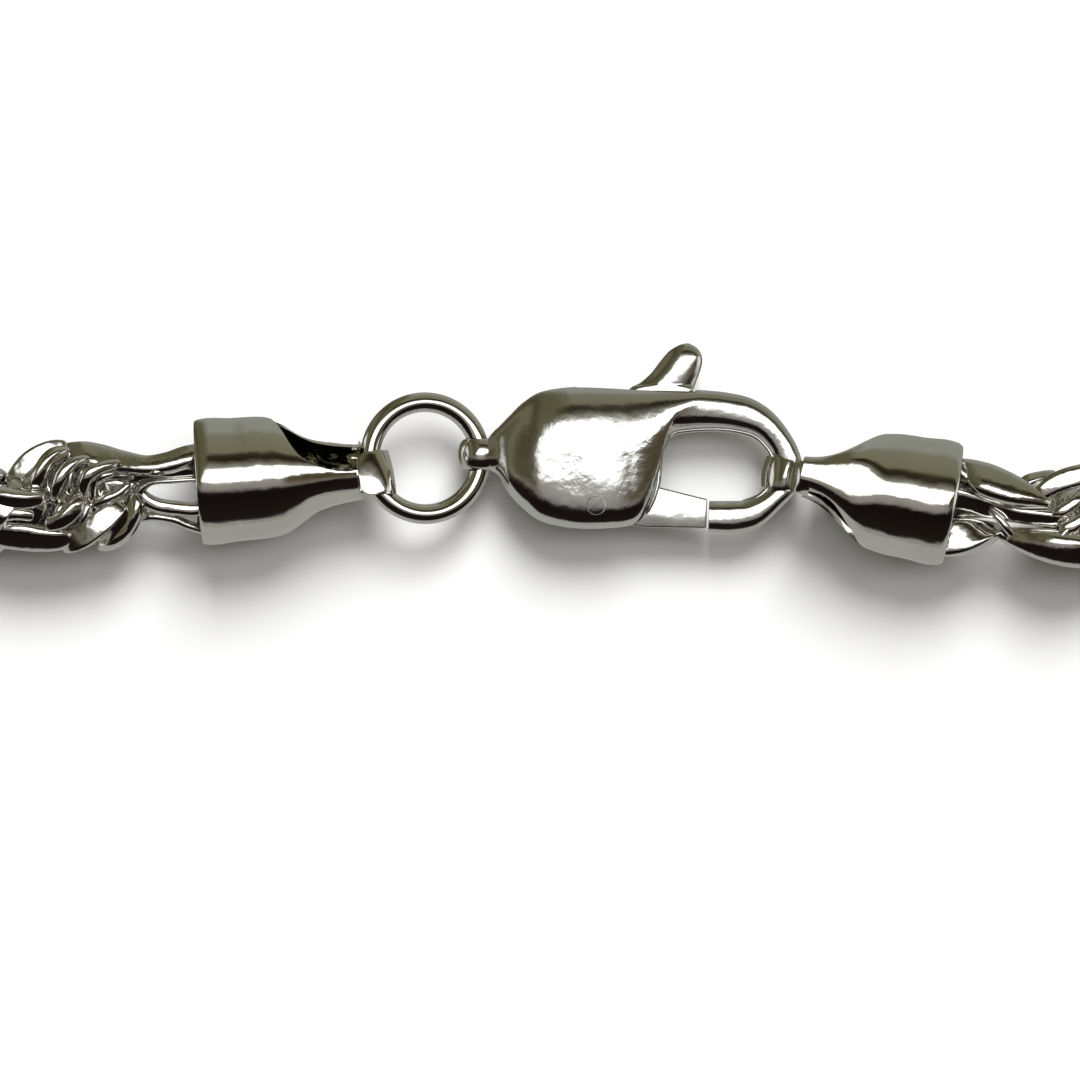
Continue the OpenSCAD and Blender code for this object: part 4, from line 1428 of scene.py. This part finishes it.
    def _bead(self, last: float, side: float) -> tuple[np.ndarray, list[np.ndarray]]:
        """One strand of the opening's raised edge, beside the casting's inner line.

        Its middle lies off the line by a shift times the line's normal. It runs above or below
        the slot until it has passed the gate's swing, and then eases to the middle.

        Args:
            last: Row of the table where it ends.
            side: 1 for the strand above the slot, -1 for the one below.

        Returns:
            Points, and a list of arrays of faces.
        """
        at = np.linspace(self.rim_from, last, self.rim_rows)[:, None]
        rows = through(numbered(self.SECTIONS), at[:, 0])
        line = rows[:, 2:4] * [self.sizes.clasp_l, self.sizes.clasp_w]
        along = np.gradient(line, axis=0)
        normal = unit(np.stack([along[:, 1], -along[:, 0]], -1))
        past = smooth((at - self.rim_close) / self.rim_close_run)
        shift = (self.rim_off + self.rim_off_more * past) * smooth((last - at) / self.rim_fade)
        line = line + normal * (shift - self.rim_sunk)
        half = self.rim_r * rounded_ends(self.rim_rows)[:, None]
        square = np.tile([2.0, 2.0, 2.0, 2.0, 0.0], (self.rim_rows, 1))
        outer, inner = line - normal * half, line + normal * half
        skin, faces = section_skin(outer, inner, half[:, 0] * self.rim_tall, square, self.rim_corners)
        skin[:, 2] += np.repeat(side * self.rim_z * (1 - past[:, 0]), self.rim_corners)
        return skin, faces

    def rim(self) -> None:
        """Makes the thin raised edge of the opening, which parts at the slot to let the gate by."""
        upper, upper_faces = self._bead(self.rim_ends[0], 1.0)
        lower, lower_faces = self._bead(self.rim_ends[1], -1.0)
        faces = upper_faces + [f + len(upper) for f in lower_faces]
        piece = self._piece("clasp_rim", np.concatenate([upper, lower]), faces)
        piece.dress(Finish.CLASP.material(), "necklace", "clasp_metal", "clasp_body")

    def build(self) -> None:
        """Makes the casting, the lever, the rivet and the rim."""
        self.body()
        self.lever()
        self.pin()
        self.rim()


# The studio


@dataclass(frozen=True)
class Studio:
    """White board, soft light and the camera straight above, in millimetres and degrees."""

    # Light that comes from each angle off the zenith, turned towards +Y: degrees, colour, strength
    SKY = (
        (-180, "A4A4A0", 1.0), (-88, "A4A4A0", 1.0), (-80, "2A2220", 0.6), (-24, "1E1614", 0.5),
        (-17, "8C8884", 1.0), (-4, "9C9894", 1.0), (-1, "FFFFFF", 2.4), (19, "FFFFFF", 2.4),
        (23, "8E8C84", 1.0), (32, "5A5648", 0.9), (37, "2A2418", 0.7), (45, "3C3828", 0.8),
        (52, "76745F", 1.0), (90, "7E7C6C", 1.0), (104, "92948C", 1.0), (180, "92948C", 1.0),
    )
    # Light from the sides, past the ends of the softbox: X of the direction, colour, strength
    SIDES = (
        (-1.0, "E8E8E4", 1.0), (-0.93, "E8E8E4", 1.0), (-0.88, "4E4C38", 1.0), (-0.72, "6E6A54", 1.0),
        (-0.56, "4A4232", 1.0), (-0.3, "5E5C46", 1.0), (0.3, "564E38", 1.0),
        (0.7, "463E2C", 1.0), (0.89, "564E3C", 1.0), (0.94, "E8E8E4", 1.0), (1.0, "E8E8E4", 1.0),
    )

    closure: Closure
    # Camera: width of the picture on the necklace, height over it, sensor, and turn
    frame_w: float = 49.1
    distance: float = 400.0
    sensor: float = 36.0
    roll: float = 1.7
    middle_from_ring: tuple[float, float] = (5.335, -3.570)
    # The nearest and the furthest that the camera sees
    clip: tuple[float, float] = (10.0, 20000.0)
    # Half the board's side, and the length of the unevenness in its pulp
    floor_half: float = 3000.0
    pulp_l: float = 2.5
    # Lamp: strength, turns about X and Y, and how wide it looks
    key_power: float = 3.4
    key_turn: tuple[float, float] = (-40.0, 8.0)
    key_soft: float = 31.0
    # The softbox leans: Y of the direction up to which it does, and how fast its right and left
    # end move there
    lean_to: float = 0.35
    lean_right: float = -2.5
    lean_left: float = 0.5
    # X of the direction over which the softbox gives way to the side light, and Y over which it
    # does so from the front
    past_end: tuple[float, float] = (0.27, 0.4)
    past_front: tuple[float, float] = (-0.4, -0.1)

    def build(self) -> None:
        """Makes the floor, the light and the camera."""
        self._floor()
        self._sky()
        self._key()
        self._camera()

    def _middle(self) -> np.ndarray:
        """Middle of the picture on the floor."""
        at = self.closure.ring.origin[:2] + np.array(self.middle_from_ring)
        return np.array([at[0], at[1], 0.0])

    def _floor(self) -> None:
        """Makes the board that the necklace lies on."""
        half = self.floor_half
        corners = np.array([[-half, -half, 0], [half, -half, 0], [half, half, 0], [-half, half, 0]])
        floor = Piece("floor", corners, [np.array([[0, 1, 2, 3]])])
        material = bpy.data.materials.new("white_board")
        material.use_nodes = True
        tree = material.node_tree
        tree.nodes.clear()
        # Matt white board, its pulp faintly uneven
        place = add_node(tree, "ShaderNodeTexCoord").outputs["Object"]
        scale = 1 / (self.pulp_l * MM)
        pulp = add_node(tree, "ShaderNodeTexNoise", Vector=place, Scale=scale, Detail=3.0)
        tint = add_node(tree, "ShaderNodeValToRGB", Fac=pulp.outputs[0])
        tint.color_ramp.elements[0].color = linear("F3F3F3")
        tint.color_ramp.elements[1].color = linear("F6F6F6")
        board = add_node(tree, "ShaderNodeBsdfDiffuse", Color=tint.outputs[0])
        add_node(tree, "ShaderNodeOutputMaterial", Surface=board.outputs[0])
        floor.object.data.materials.append(material)
        floor.object.visible_glossy = False
        floor.object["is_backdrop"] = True

    def _sky(self) -> None:
        """Makes the light that the metal shows.

        A direction's angle off the zenith is the arc tangent of its Y over its Z, and reads the
        light across the softbox. Its X reads the side light, which takes over past the ends.
        """
        world = bpy.data.worlds.new("studio")
        world.use_nodes = True
        tree = world.node_tree
        tree.nodes.clear()
        maths, remap = "ShaderNodeMath", "ShaderNodeMapRange"
        times, times_plus = {"operation": "MULTIPLY"}, {"operation": "MULTIPLY_ADD"}
        way = add_node(tree, "ShaderNodeTexCoord").outputs["Generated"]
        x, y, z = add_node(tree, "ShaderNodeSeparateXYZ", Vector=way).outputs
        angle = add_node(tree, maths, {"operation": "ARCTAN2"}, i0=y, i1=z).outputs[0]
        peak = max(strength for _, _, strength in self.SKY)
        turn = add_node(tree, maths, times_plus, i0=angle, i1=1 / (2 * math.pi), i2=0.5).outputs[0]
        sky = self._light(tree, turn, [(d / 360 + 0.5, c, s / peak) for d, c, s in self.SKY])
        across = add_node(tree, maths, times_plus, i0=x, i1=0.5, i2=0.5).outputs[0]
        side = self._light(tree, across, [(d / 2 + 0.5, c, s / peak) for d, c, s in self.SIDES])
        # The further up the picture the softbox lies, the further it reaches right
        rise = add_node(tree, remap, Value=y, From_Max=self.lean_to, To_Max=self.lean_to).outputs[0]
        right = add_node(tree, maths, times_plus, i0=rise, i1=self.lean_right, i2=x).outputs[0]
        back = add_node(tree, maths, times, i0=x, i1=-1.0).outputs[0]
        left = add_node(tree, maths, times_plus, i0=rise, i1=self.lean_left, i2=back).outputs[0]
        off = add_node(tree, maths, {"operation": "MAXIMUM"}, i0=right, i1=left).outputs[0]
        (low, high), (near, far) = self.past_end, self.past_front
        past = add_node(tree, remap, Value=off, From_Min=low, From_Max=high).outputs[0]
        front = add_node(tree, remap, Value=y, From_Min=near, From_Max=far).outputs[0]
        share = add_node(tree, maths, times, i0=past, i1=front).outputs[0]
        both = add_node(tree, "ShaderNodeMix", {"data_type": "RGBA"}, i0=share, i6=sky, i7=side)
        light = add_node(tree, "ShaderNodeBackground", Color=both.outputs[2], Strength=peak)
        add_node(tree, "ShaderNodeOutputWorld", Surface=light.outputs[0])
        bpy.context.scene.world = world

    @staticmethod
    def _light(
        tree: bpy.types.NodeTree, source: bpy.types.NodeSocket, stops: list[tuple[float, str, float]]
    ) -> bpy.types.NodeSocket:
        """Light along one way across the studio, between stops.

        Args:
            tree: Tree that its nodes go in.
            source: Place along the way, from 0 to 1.
            stops: Place, colour and strength of each stop.

        Returns:
            The light's colour.
        """
        ramp = add_node(tree, "ShaderNodeValToRGB", Fac=source)
        elements = ramp.color_ramp.elements
        elements.remove(elements[1])
        for number, (position, code, strength) in enumerate(stops):
            stop = elements.new(position) if number else elements[0]
            stop.position = position
            rgb = np.array(linear(code)[:3]) * strength
            stop.color = (*rgb.tolist(), 1.0)
        return ramp.outputs[0]

    def _key(self) -> None:
        """Makes the lamp that lights the board and casts the shadow."""
        light = bpy.data.lights.new("key", "SUN")
        light.energy = self.key_power
        light.angle = math.radians(self.key_soft)
        key = bpy.data.objects.new("key", light)
        key.rotation_euler = (*np.radians(self.key_turn).tolist(), 0)
        key.visible_glossy = False
        bpy.context.scene.collection.objects.link(key)
        key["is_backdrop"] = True

    def _camera(self) -> None:
        """Makes the camera, whose lens is the sensor times the distance over the frame's width."""
        data = bpy.data.cameras.new("camera")
        data.sensor_width = self.sensor
        data.lens = self.sensor * self.distance / self.frame_w
        data.clip_start, data.clip_end = self.clip[0] * MM, self.clip[1] * MM
        camera = bpy.data.objects.new("camera", data)
        camera.location = (self._middle() + [0, 0, self.distance + self.closure.cap_z]) * MM
        camera.rotation_euler = (0, 0, math.radians(self.roll))
        scene = bpy.context.scene
        scene.collection.objects.link(camera)
        scene.camera = camera
        scene.view_settings.view_transform = "Standard"


# The whole


CAD_FINISHES = {
    "rope": Finish.LINK, "ring_cap": Finish.CAP, "hook_cap": Finish.CAP, "jump_ring": Finish.WIRE,
    "clasp_body": Finish.CLASP, "clasp_rivet": Finish.CLASP, "clasp_lever": Finish.CLASP,
}


def dress_nodes(nodes: dict[str, bpy.types.Object]) -> None:
    """Gives each CAD node its finish.

    Args:
        nodes: CAD node by name.
    """
    for name, finish in CAD_FINISHES.items():
        data = nodes[name].data
        data.materials.clear()
        data.materials.append(finish.material())


def plain(bounds: object) -> object:
    """The bounds as lists that a JSON file can hold.


    Returns:
        The same as plain lists, dicts and numbers.
    """
    if isinstance(bounds, dict):
        return {str(k): plain(v) for k, v in bounds.items()}
    if isinstance(bounds, (float, int, str)) or bounds is None:
        return bounds
    return [plain(v) for v in bounds]


def main() -> None:
    """Builds the necklace and its studio in order."""
    logging.basicConfig(level=logging.INFO, format="%(name)s: %(message)s")
    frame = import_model()
    before = plain(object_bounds())
    dress_nodes(frame["nodes"])
    closure = Closure(NecklaceSizes())
    Rope(closure, LinkSizes()).build()
    for place, cap in ((closure.ring_cap, RING_CAP), (closure.hook_cap, HOOK_CAP)):
        EndCap(place, cap, closure.sizes).build()
    JumpRing(closure).build()
    Clasp(closure).build()
    Studio(closure).build()
    {"frame": before, "shown": plain(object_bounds())}


if __name__ == "__main__":
    main()
